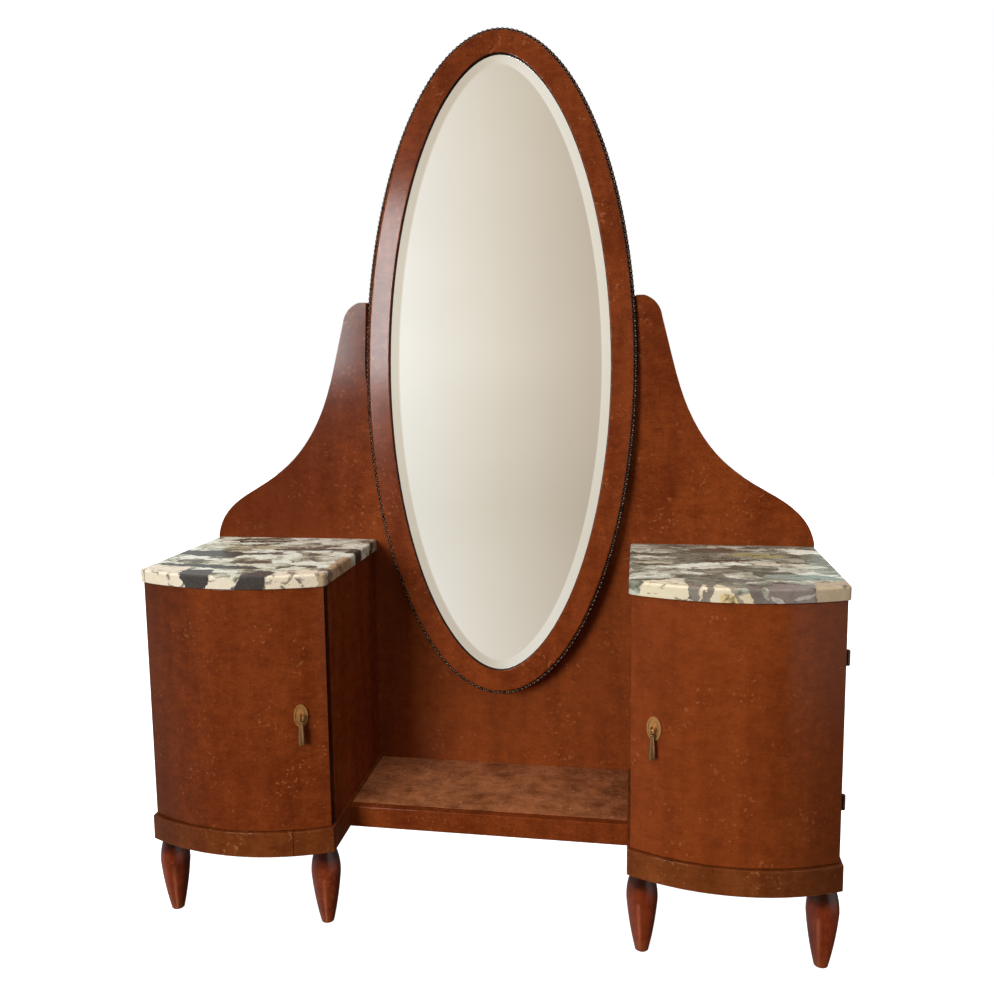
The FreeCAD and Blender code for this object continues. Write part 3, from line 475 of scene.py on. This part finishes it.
PALE_STONES = [
    ((-0.600, -0.010, STONE_FACE), (0.080, 0.030, 0.030), (0, 0, -4), 0.2, (0.075, 0.090, 0.075)),
    ((-0.500, -0.004, STONE_FACE), (0.075, 0.009, 0.030), (0, 0, 3), 0, (0.095, 0.095, 0.080)),
    ((-0.545, 0.135, STONE_FACE), (0.060, 0.010, 0.030), (0, 0, 6), 0, (0.060, 0.048, 0.040)),
    ((-0.395, 0.050, STONE_FACE), (0.092, 0.013, 0.030), (0, 0, 5), 0, (0.085, 0.075, 0.065)),
    ((-0.545, -0.140, STONE_FACE), (0.120, 0.017, 0.018), (0, 0, -5), 0, (0.075, 0.082, 0.070)),
    ((-0.470, -0.095, STONE_FACE), (0.034, 0.018, 0.018), (0, 0, 10), 0, (0.150, 0.115, 0.085)),
    ((-0.535, 0.062, STONE_FACE), (0.075, 0.016, 0.020), (0, 0, 0), 0, (0.520, 0.460, 0.290)),
    ((-0.640, -0.205, 0.719), (0.070, 0.070, 0.030), (0, 0, 0), 0.6, (0.950, 0.830, 0.640)),
    ((-0.537, -0.222, 0.722), (0.029, 0.052, 0.060), (0, -24, 12), 1, (0.070, 0.060, 0.056)),
    ((-0.484, -0.240, 0.714), (0.030, 0.045, 0.019), (0, 14, -8), 0.7, (0.950, 0.840, 0.660)),
    ((-0.424, -0.222, 0.720), (0.027, 0.050, 0.060), (0, 26, -14), 1, (0.075, 0.064, 0.060)),
    ((-0.345, -0.205, 0.716), (0.050, 0.060, 0.032), (0, 0, 0), 0.6, (0.950, 0.810, 0.610)),
    ((-0.292, 0.045, 0.720), (0.022, 0.022, 0.040), (0, 0, 0), 1, (0.045, 0.050, 0.040)),
    ((-0.292, -0.080, 0.716), (0.014, 0.075, 0.022), (0, 0, 0), 0.7, (0.560, 0.380, 0.220)),
    ((-0.300, -0.150, 0.722), (0.014, 0.014, 0.040), (0, 0, 0), 0.5, (0.250, 0.170, 0.120)),
    ((-0.284, -0.190, 0.714), (0.024, 0.026, 0.026), (0, 0, 0), 0.6, (0.600, 0.430, 0.270)),
]
GREY_STONES = [
    ((0.465, 0.130, STONE_FACE), (0.050, 0.022, 0.030), (0, 0, 3), 0, (0.150, 0.130, 0.098)),
    ((0.548, 0.078, STONE_FACE), (0.056, 0.024, 0.030), (0, 0, -4), 0, (0.420, 0.390, 0.200)),
    ((0.330, -0.010, STONE_FACE), (0.045, 0.010, 0.030), (0, 0, -6), 0, (0.740, 0.670, 0.500)),
    ((0.382, -0.098, STONE_FACE), (0.066, 0.009, 0.030), (0, 0, -7), 0, (0.860, 0.810, 0.690)),
    ((0.440, -0.050, STONE_FACE), (0.040, 0.008, 0.030), (0, 0, 2), 0, (0.860, 0.820, 0.720)),
    ((0.575, -0.012, STONE_FACE), (0.060, 0.010, 0.030), (0, 0, 5), 0, (0.800, 0.720, 0.540)),
    ((0.600, -0.120, STONE_FACE), (0.070, 0.020, 0.020), (0, 0, -4), 0, (0.330, 0.400, 0.335)),
    ((0.490, 0.020, STONE_FACE), (0.050, 0.009, 0.030), (0, 0, 8), 0, (0.130, 0.110, 0.095)),
    ((0.480, -0.160, STONE_FACE), (0.070, 0.010, 0.012), (0, 0, 0), 0, (0.225, 0.225, 0.195)),
    ((0.352, -0.208, 0.717), (0.040, 0.040, 0.032), (0, 18, 10), 0.8, (0.950, 0.830, 0.600)),
    ((0.412, -0.228, 0.718), (0.012, 0.034, 0.034), (0, -22, 0), 0.8, (0.300, 0.260, 0.220)),
    ((0.448, -0.230, 0.716), (0.034, 0.034, 0.024), (0, 20, 0), 0.6, (0.930, 0.800, 0.580)),
    ((0.500, -0.232, 0.714), (0.020, 0.034, 0.016), (0, -30, 0), 0.6, (0.880, 0.730, 0.480)),
    ((0.430, -0.231, 0.722), (0.006, 0.034, 0.030), (0, 30, 0), 0.8, (0.300, 0.250, 0.200)),
    ((0.464, -0.232, 0.711), (0.014, 0.034, 0.011), (0, 12, 0), 0.3, (0.900, 0.680, 0.340)),
    ((0.478, -0.232, 0.722), (0.005, 0.034, 0.024), (0, -36, 0), 0.6, (0.420, 0.350, 0.270)),
    ((0.514, -0.231, 0.718), (0.010, 0.036, 0.032), (0, -34, 0), 0.8, (0.250, 0.205, 0.180)),
    ((0.575, -0.226, 0.718), (0.046, 0.050, 0.030), (0, 0, 0), 0.8, (0.290, 0.232, 0.208)),
    ((0.548, -0.232, 0.712), (0.014, 0.034, 0.006), (0, 25, 0), 0.2, (0.620, 0.560, 0.500)),
    ((0.596, -0.226, 0.722), (0.018, 0.040, 0.004), (0, -12, 0), 0.2, (0.560, 0.500, 0.450)),
    ((0.655, -0.190, 0.718), (0.042, 0.050, 0.030), (0, 0, 0), 0.8, (0.560, 0.420, 0.270)),
]

MATERIALS = {
    "veneer": wood("veneer", UPRIGHT, **VENEER, flecks=0.6, pores=0.45),
    # Painted shade and painted light on the back panel: the left wing darkened towards its outer end, and the
    # panel lightened below about 0.7 m in the kneehole.
    "panel_veneer": wood(
        "panel_veneer", UPRIGHT, **VENEER, flecks=0.6, pores=0.45, coat=0.09,
        levels=((ACROSS, -0.24, -0.48, 0.62, (0.105, 0.017, 0.003)),
                (UP, 0.80, 0.66, 0.20, (0.310, 0.088, 0.024)))),
    # Painted light and shade on the doors: the left door darkened, the right door lightened, the outer ends
    # darkened, and the side edges painted as gap shadow.
    "door_veneer": wood(
        "door_veneer", UPRIGHT, **VENEER, flecks=0.65, pores=0.45, painted_gap_shadow=True,
        levels=((ACROSS, -0.30, -0.48, 0.22, (0.100, 0.0165, 0.003)),
                (ACROSS, 0.05, 0.28, 0.20, (0.430, 0.088, 0.016))) + PAINTED_OUTER_SHADE),
    # Lighter tones than the upright veneer: worn wood, and painted light on the level top.
    "level_veneer": wood(
        "level_veneer", LEVEL, dark=(0.150, 0.043, 0.014), light=(0.540, 0.195, 0.077),
        fleck=(0.60, 0.27, 0.13), flecks=0.7, pores=0.6, coat_rough=0.22, worn=(0.52, 0.21, 0.075), wear=0.9),
    "band_veneer": wood(
        "band_veneer", UPRIGHT, dark=(0.137, 0.029, 0.0060), light=(0.278, 0.072, 0.0165),
        fleck=(0.48, 0.19, 0.07), flecks=0.7, pores=0.4, worn=(0.46, 0.25, 0.12), wear=0.9,
        # Painted shade on the plinths' outer ends.
        seams=(PLINTH_SEAM,), levels=PAINTED_OUTER_SHADE),
    "turned_wood": wood(
        "turned_wood", TURNED, dark=(0.100, 0.0140, 0.0040), light=(0.320, 0.050, 0.0115),
        fleck=(0.50, 0.15, 0.05), flecks=0.35, pores=0.3, coat=0.5, coat_rough=0.33,
        # Painted shade: near black round the neck of each foot under the plinth. The second level is wear at
        # the tips.
        levels=((UP, 0.118, 0.148, 0.90, (0.012, 0.004, 0.003)),
                (UP, 0.034, 0.004, 0.4, (0.34, 0.095, 0.027)))),
    "plain_wood": wood(
        "plain_wood", PLAIN, dark=(0.20, 0.082, 0.030), light=(0.37, 0.175, 0.070),
        fleck=(0.46, 0.26, 0.12), flecks=0.4, pores=0.6, coat=0.0, rough=(0.55, 0.7)),
    "pale_marble": marble(
        "pale_marble", scale=26.0, stretch=(0.75, 1.0, 1.0),
        bands=[(0.25, 0.25, (0.135, 0.120, 0.078)), (0.30, 0.37, (0.35, 0.325, 0.230)),
               (0.41, 0.49, (0.57, 0.545, 0.40)), (0.53, 0.62, (0.80, 0.79, 0.63)),
               (0.67, 0.67, (0.96, 0.97, 0.82))],
        crack_tone=(0.09, 0.07, 0.05), fragments=PALE_STONES),
    "grey_marble": marble(
        "grey_marble", scale=34.0, stretch=(0.46, 1.0, 1.0),
        bands=[(0.28, 0.28, (0.145, 0.155, 0.120)), (0.35, 0.48, (0.255, 0.268, 0.207)),
               (0.52, 0.61, (0.455, 0.450, 0.350)), (0.65, 0.73, (0.70, 0.70, 0.57)),
               (0.78, 0.78, (0.98, 0.99, 0.83))],
        crack_tone=(0.075, 0.060, 0.050), fragments=GREY_STONES),
    "brass": metal(
        "brass", bright=(0.60, 0.285, 0.085), dull=(0.20, 0.075, 0.020), rough=(0.28, 0.44),
        tarnished=0.75, metallic=0.4),
    "pull_bronze": metal(
        "pull_bronze", bright=(0.30, 0.140, 0.052), dull=(0.050, 0.013, 0.004), rough=(0.26, 0.46),
        tarnished=0.9, metallic=0.6),
    "dark_bronze": metal(
        "dark_bronze", bright=(0.10, 0.060, 0.032), dull=(0.022, 0.014, 0.010), rough=(0.38, 0.60),
        tarnished=0.8, metallic=1.0),
    "steel": metal(
        "steel", bright=(0.42, 0.41, 0.39), dull=(0.16, 0.14, 0.12), rough=(0.34, 0.52),
        tarnished=0.6, metallic=1.0),
    "ebonised_wood": ebonised_wood(),
    "black_edge": black_edge(),
    "glass": clear_glass(),
    "silver": old_silver(),
    "floor": pale_floor(),
}


# Pieces

def finished(name, mesh, materials, body, stands_for):
    """Make a bmesh into a piece of the table that stands for CAD nodes."""
    data = bpy.data.meshes.new(name)
    mesh.to_mesh(data)
    mesh.free()
    for face in data.polygons:
        face.use_smooth = True
    for material in materials:
        data.materials.append(MATERIALS[material])
    made = bpy.data.objects.new(name, data)
    scene.collection.objects.link(made)
    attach(made, body)
    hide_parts(*stands_for)
    return made


def weigh_normals(made):
    """Shade the broad faces flat and the narrow ones round."""
    weigh = made.modifiers.new("weighted_normals", "WEIGHTED_NORMAL")
    weigh.weight = 100
    weigh.keep_sharp = True


def merged_copy(node):
    """A copy of a CAD node's mesh with whole faces in place of loose triangles."""
    mesh = bmesh.new()
    mesh.from_mesh(nodes[node].data)
    bmesh.ops.remove_doubles(mesh, verts=mesh.verts[:], dist=MERGE_DISTANCE)
    bmesh.ops.dissolve_limit(mesh, angle_limit=FLAT_ANGLE, verts=mesh.verts[:], edges=mesh.edges[:])
    return mesh


def eased(node, width, material, plain_side=None):
    """A board whose sharp corners are eased; the face towards plain_side is bare wood."""
    mesh = merged_copy(node)
    sharp = [edge for edge in mesh.edges if edge.is_manifold and edge.calc_face_angle() > SHARP_ANGLE]
    bmesh.ops.bevel(mesh, geom=sharp, offset=width, offset_type="OFFSET", affect="EDGES", segments=2,
                    profile=0.5, material=-1, clamp_overlap=True)
    materials = [material]
    if plain_side:
        materials.append("plain_wood")
        for face in mesh.faces:
            face.material_index = int(face.normal.dot(Vector(plain_side)) > 0.9)
    weigh_normals(finished(node + "_eased", mesh, materials, "table", [node]))


def oval_point(inset, angle, y):
    """A point on the mirror's elliptical outline, drawn in by the same width all round."""
    wide, tall = OVAL_HALF
    outward = Vector((tall * math.cos(angle), 0, wide * math.sin(angle))).normalized()
    return OVAL_CENTRE + Vector((wide * math.cos(angle), y, tall * math.sin(angle))) - outward * inset


def evenly_round(inset, count):
    """Angles that space points evenly along an oval's rim."""
    steps = 4000
    lengths = [0.0]
    for step in range(steps):
        a, b = (math.tau * (step + k) / steps for k in (0, 1))
        lengths.append(lengths[-1] + (oval_point(inset, b, 0) - oval_point(inset, a, 0)).length)
    angles = []
    step = 0
    for index in range(count):
        target = lengths[-1] * index / count
        while lengths[step + 1] < target:
            step += 1
        part = (target - lengths[step]) / (lengths[step + 1] - lengths[step])
        angles.append(math.tau * (step + part) / steps)
    return angles


def oval_rings(mesh, rings):
    """Closed loops round the oval, each at its own inset and depth, skinned from one to the next."""
    loops = []
    for inset, y in rings:
        made = bmesh.ops.create_circle(mesh, cap_ends=False, segments=OVAL_SEGMENTS, radius=1.0)["verts"]
        for vert in made:
            vert.co = oval_point(inset, math.atan2(vert.co.y, vert.co.x), y)
        loops.append(list(dict.fromkeys(edge for vert in made for edge in vert.link_edges)))
    for near, far in zip(loops, loops[1:]):
        bmesh.ops.bridge_loops(mesh, edges=near + far)
    return loops


def bead_row():
    """The row of small dark beads round the outside of the mirror frame, on a dark fillet."""
    mesh = bmesh.new()
    depth = Vector((0, 1, 0))
    shape = Matrix.Diagonal((*BEAD_HALF, 1))
    for angle in evenly_round(BEAD_INSET, BEAD_COUNT):
        centre = oval_point(BEAD_INSET, angle, FILLET_FRONT)
        run = Vector((-OVAL_HALF[0] * math.sin(angle), 0, OVAL_HALF[1] * math.cos(angle))).normalized()
        turn = Matrix((run, depth, run.cross(depth))).transposed().to_4x4()
        bmesh.ops.create_uvsphere(mesh, u_segments=8, v_segments=6, radius=1.0,
                                  matrix=Matrix.Translation(centre) @ turn @ shape)
    inner, front, outer = 0.0079, 0.0018, 0.0012
    oval_rings(mesh, [(inner, FILLET_FRONT), (front, FILLET_FRONT), (outer, FILLET_FRONT + 0.0010),
                      (outer, FILLET_BACK), (inner, FILLET_BACK)])
    bmesh.ops.recalc_face_normals(mesh, faces=mesh.faces[:])
    bmesh.ops.transform(mesh, matrix=LEAN, verts=mesh.verts[:])
    finished("bead_row", mesh, ["ebonised_wood"], "mirror", ["bead_moulding"])


def mirror_plate():
    """An oval plate with a ground bevel round its front and silver on its back."""
    crown = FRAME_LIP_BACK - GLASS_BEVEL_WIDTH * GLASS_BEVEL_SLOPE
    rim_front = crown + (GLASS_BEVEL_WIDTH + GLASS_OVERLAP) * GLASS_BEVEL_SLOPE
    rim = SIGHT_INSET - GLASS_OVERLAP
    mesh = bmesh.new()
    loops = oval_rings(mesh, [(SIGHT_INSET + GLASS_BEVEL_WIDTH, crown), (rim, rim_front), (rim, GLASS_BACK)])
    for loop in (loops[0], loops[-1]):
        bmesh.ops.contextual_create(mesh, geom=loop)
    bmesh.ops.recalc_face_normals(mesh, faces=mesh.faces[:])
    for face in mesh.faces:
        face.material_index = 1 if face.normal.y > 0.9 else 0
    for edge in mesh.edges:
        edge.smooth = edge.calc_face_angle() < math.radians(3)
    bmesh.ops.transform(mesh, matrix=LEAN, verts=mesh.verts[:])
    finished("mirror_plate", mesh, ["glass", "silver"], "mirror", ["mirror_glass"])


def oval_frame():
    """The veneered oval frame, blackened round its inner edge and plain behind."""
    mesh = merged_copy("mirror_frame")
    upright = LEAN.inverted()
    inner_edge_front = FRAME_FRONT + 0.0010
    back = FRAME_FRONT + 0.020
    for face in mesh.faces:
        middle = upright @ face.calc_center_median() - OVAL_CENTRE
        outward = Vector((middle.x / OVAL_HALF[0] ** 2, 0, middle.z / OVAL_HALF[1] ** 2))
        if face.normal.dot(outward) < -0.5 * outward.length and middle.y > inner_edge_front:
            face.material_index = 1
        elif middle.y > back and face.normal.y > 0.5:
            face.material_index = 2
    for edge in mesh.edges:
        edge.smooth = edge.is_manifold and edge.calc_face_angle() < math.radians(30)
    weigh_normals(finished("oval_frame", mesh, ["veneer", "black_edge", "plain_wood"], "mirror",
                           ["mirror_frame"]))


# Names of nodes by material and slot; a side's names start with left or right

SIDE_FINISHES = {
    ("door_veneer", "mahogany_veneer"): ("door",),
    ("band_veneer", "plinth_veneer"): ("plinth",),
    ("plain_wood", "plain_wood"): ("cabinet_floor", "cabinet_roof", "cabinet_back", "inner_shelf"),
    ("turned_wood", "turned_wood"): ("front_inner_foot", "front_outer_foot", "rear_foot"),
    ("brass", "aged_brass"): ("strike_plate", "handle_plate", "handle_stud"),
    ("pull_bronze", "aged_brass"): ("drop_pull",),
    ("dark_bronze", "aged_brass"): ("hinge_door_leaves", "hinge_frame_leaves"),
    ("steel", "steel"): ("pull_pin", "door_leaf_screws"),
}
TABLE_FINISHES = {
    ("pale_marble", "pale_marble"): ("left_marble_top",),
    ("grey_marble", "grey_marble"): ("right_marble_top",),
    ("plain_wood", "plain_wood"): ("platform_cleats", "foot_blocks", "shelf_pins", "mirror_backing",
                                   "backing_strip"),
    ("brass", "aged_brass"): ("ball_catches", "pivot_bushes"),
    ("dark_bronze", "aged_brass"): ("hinge_pins", "pivot_brackets"),
    ("steel", "steel"): ("panel_screws", "frame_leaf_screws", "pivot_pins", "bracket_screws"),
}


def dress(node, material):
    """Give a CAD node that stays in view its finish."""
    piece = nodes[node]
    piece.data.materials.clear()
    piece.data.materials.append(MATERIALS[material])


# Studio

WARM_WHITE = (1.0, 0.985, 0.965)


def add_camera():
    """A camera at the photograph's viewing angle."""
    yaw, pitch, roll = (math.radians(a) for a in (10.2157, -6.9764, -0.8954))
    place = Vector((0.30423, PANEL_FRONT - 2.08225, 1.12186))
    forward = Vector((-math.sin(yaw) * math.cos(pitch), math.cos(yaw) * math.cos(pitch), math.sin(pitch)))
    right = Vector((math.cos(yaw), math.sin(yaw), 0))
    up = right.cross(forward)
    across = right * math.cos(roll) + up * math.sin(roll)
    upright = up * math.cos(roll) - right * math.sin(roll)
    turn = Matrix((across, upright, -forward)).transposed()
    data = bpy.data.cameras.new("camera")
    data.sensor_width = 36
    data.lens = 34.13
    data.shift_x = 0.0286
    data.shift_y = -0.01255
    camera = bpy.data.objects.new("camera", data)
    camera.matrix_world = Matrix.Translation(place) @ turn.to_4x4()
    scene.collection.objects.link(camera)
    scene.camera = camera


def all_round(tree, sweep, stops):
    """Colours that follow the bearing, each stop in degrees to the right of straight ahead."""
    return ramp(tree, sweep, [(0.5 + degrees / 360, colour) for degrees, colour in stops])


def add_world():
    """A pale room: white behind the table, and a cream wall in front of it that darkens to the right."""
    world = bpy.data.worlds.new("studio")
    scene.world = world
    world.use_nodes = True
    tree = world.node_tree
    across, away, height = on_axes(tree, tree.nodes.new("ShaderNodeTexCoord").outputs["Generated"])
    bearing = maths(tree, "ARCTAN2", across, maths(tree, "MULTIPLY", away, -1.0))
    sweep = between(tree, bearing, -math.pi, math.pi, easing="LINEAR")
    wall = all_round(tree, sweep, [
        (-180, grey(0.9)), (-95, (0.60, 0.60, 0.59)), (-50, (0.50, 0.49, 0.47)), (-22, (1.02, 1.01, 0.98)),
        (-14, (1.00, 0.975, 0.92)), (-8.5, (0.83, 0.765, 0.66)), (-3, (0.63, 0.54, 0.445)),
        (12, (0.50, 0.43, 0.35)), (60, (0.30, 0.28, 0.26)), (100, grey(0.50)), (180, grey(0.9))])
    rise = ramp(tree, between(tree, height, -0.5, 0.5, easing="LINEAR"), [
        (0.0, grey(0.25)), (0.20, grey(0.45)), (0.31, (0.94, 0.95, 0.97)), (0.47, (0.86, 0.86, 0.84)),
        (0.64, grey(1.0)), (0.88, (0.92, 0.91, 0.89)), (1.0, (0.75, 0.75, 0.74))])
    room = blend(tree, 1.0, wall, rise, "MULTIPLY")
    left_glow = all_round(tree, sweep, [
        (-110, grey(0.45)), (-85, (0.90, 0.91, 0.92)), (-48, (0.40, 0.41, 0.42)), (-26, grey(0.07)),
        (40, grey(0.05))])
    right_glow = all_round(tree, sweep, [
        (30, grey(0)), (39, (1.70, 1.71, 1.74)), (90, (1.45, 1.46, 1.48)), (115, grey(0.3))])
    sheen = blend(tree, between(tree, height, -0.38, -0.28), left_glow, right_glow, "ADD")
    fill = ramp(tree, between(tree, height, -0.2, 1.0), [
        (0.0, grey(0.04)), (0.25, grey(0.06)), (1.0, (0.72, 0.72, 0.73))])
    behind = maths(tree, "MULTIPLY", between(tree, away, 0.1, 0.6), between(tree, height, -0.05, 0.2))
    fill = blend(tree, behind, fill, (0.85, 0.85, 0.86, 1), "ADD")
    path = tree.nodes.new("ShaderNodeLightPath").outputs
    seen_on_finish = maths(tree, "SUBTRACT", path["Is Glossy Ray"], path["Is Transmission Ray"], clamp=True)
    shown = blend(tree, seen_on_finish, room, sheen)
    lit = blend(tree, path["Is Diffuse Ray"], shown, fill)
    background = tree.nodes["Background"].inputs
    feed(tree, background["Color"], blend(tree, path["Is Camera Ray"], lit, (1, 1, 1, 1)))


def add_light(name, place, target, size, energy, colour, shines):
    """A soft rectangular light, for either the shading or the gloss."""
    data = bpy.data.lights.new(name, "AREA")
    data.shape = "RECTANGLE"
    data.size, data.size_y = size
    data.energy = energy
    data.color = colour
    light = bpy.data.objects.new(name, data)
    light.location = place
    light.rotation_mode = "QUATERNION"
    light.rotation_quaternion = (Vector(target) - Vector(place)).to_track_quat("-Z", "Y")
    light.visible_diffuse = not shines
    light.visible_glossy = shines
    light.visible_transmission = False
    scene.collection.objects.link(light)


def add_floor():
    """A plain floor that is seen by the camera alone and casts no shadow."""
    mesh = bmesh.new()
    bmesh.ops.create_grid(mesh, x_segments=1, y_segments=1, size=8.0)
    data = bpy.data.meshes.new("floor")
    mesh.to_mesh(data)
    mesh.free()
    data.materials.append(MATERIALS["floor"])
    floor = bpy.data.objects.new("floor", data)
    floor.visible_diffuse = floor.visible_glossy = floor.visible_transmission = floor.visible_shadow = False
    scene.collection.objects.link(floor)
    floor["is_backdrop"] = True


def share_lights():
    """Keep the sheen of the windows off the stone and the glass, and light the feet and the tops apart."""
    upper, feet, tops = (bpy.data.collections.new(name) for name in ("upper", "feet", "tops"))
    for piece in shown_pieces():
        if piece.name.endswith("_foot"):
            feet.objects.link(piece)
        elif piece.name.endswith("_marble_top"):
            tops.objects.link(piece)
        elif piece.name != "mirror_plate":
            upper.objects.link(piece)
    tops.objects.link(bpy.data.objects["platform_board_eased"])
    receivers = {"window": upper, "low_window": upper, "floor_glow": feet, "overhead": tops}
    for light, pieces in receivers.items():
        bpy.data.objects[light].light_linking.receiver_collection = pieces


add_camera()
add_world()
add_light("key", place=(-2.20, -5.20, 2.00), target=(0, 0, 0.75), size=(1.8, 2.0), energy=216,
          colour=WARM_WHITE, shines=False)
add_light("fill", place=(0.70, -2.50, 1.60), target=(0, 0, 0.75), size=(1.2, 1.2), energy=1.0,
          colour=WARM_WHITE, shines=False)
add_light("overhead", place=(0, -0.30, 3.40), target=(0, -0.05, 0.73), size=(2.4, 1.4), energy=17,
          colour=(1.0, 0.99, 0.98), shines=False)
add_light("window", place=(-1.33, -3.75, 2.10), target=(-0.25, 0.16, 1.2), size=(0.42, 1.15), energy=112,
          colour=(0.96, 0.99, 1.0), shines=True)
add_light("low_window", place=(-1.80, -3.60, 1.36), target=(-0.35, 0.19, 1.15), size=(0.55, 0.50), energy=88,
          colour=(0.90, 0.98, 1.0), shines=True)
add_light("floor_glow", place=(-0.44, -1.50, -1.56), target=(0, -0.15, 0.10), size=(0.6, 0.6), energy=13,
          colour=(1.0, 0.42, 0.23), shines=True)
add_floor()
scene.view_settings.view_transform = "Standard"

for (material, slot), pieces in SIDE_FINISHES.items():
    for piece in pieces:
        dress("left_" + piece, material)
        dress("right_" + piece, material)
for (material, slot), pieces in TABLE_FINISHES.items():
    for piece in pieces:
        dress(piece, material)
eased("back_panel", CARCASS_EASING, "panel_veneer", (0, 1, 0))
for board, inward in {"left_outer_side": 1, "left_inner_side": -1, "right_inner_side": 1,
                      "right_outer_side": -1}.items():
    eased(board, CARCASS_EASING, "veneer", (inward, 0, 0))
eased("platform_board", PLATFORM_EASING, "level_veneer")
eased("platform_apron", PLATFORM_EASING, "veneer")
oval_frame()
mirror_plate()
bead_row()
share_lights()
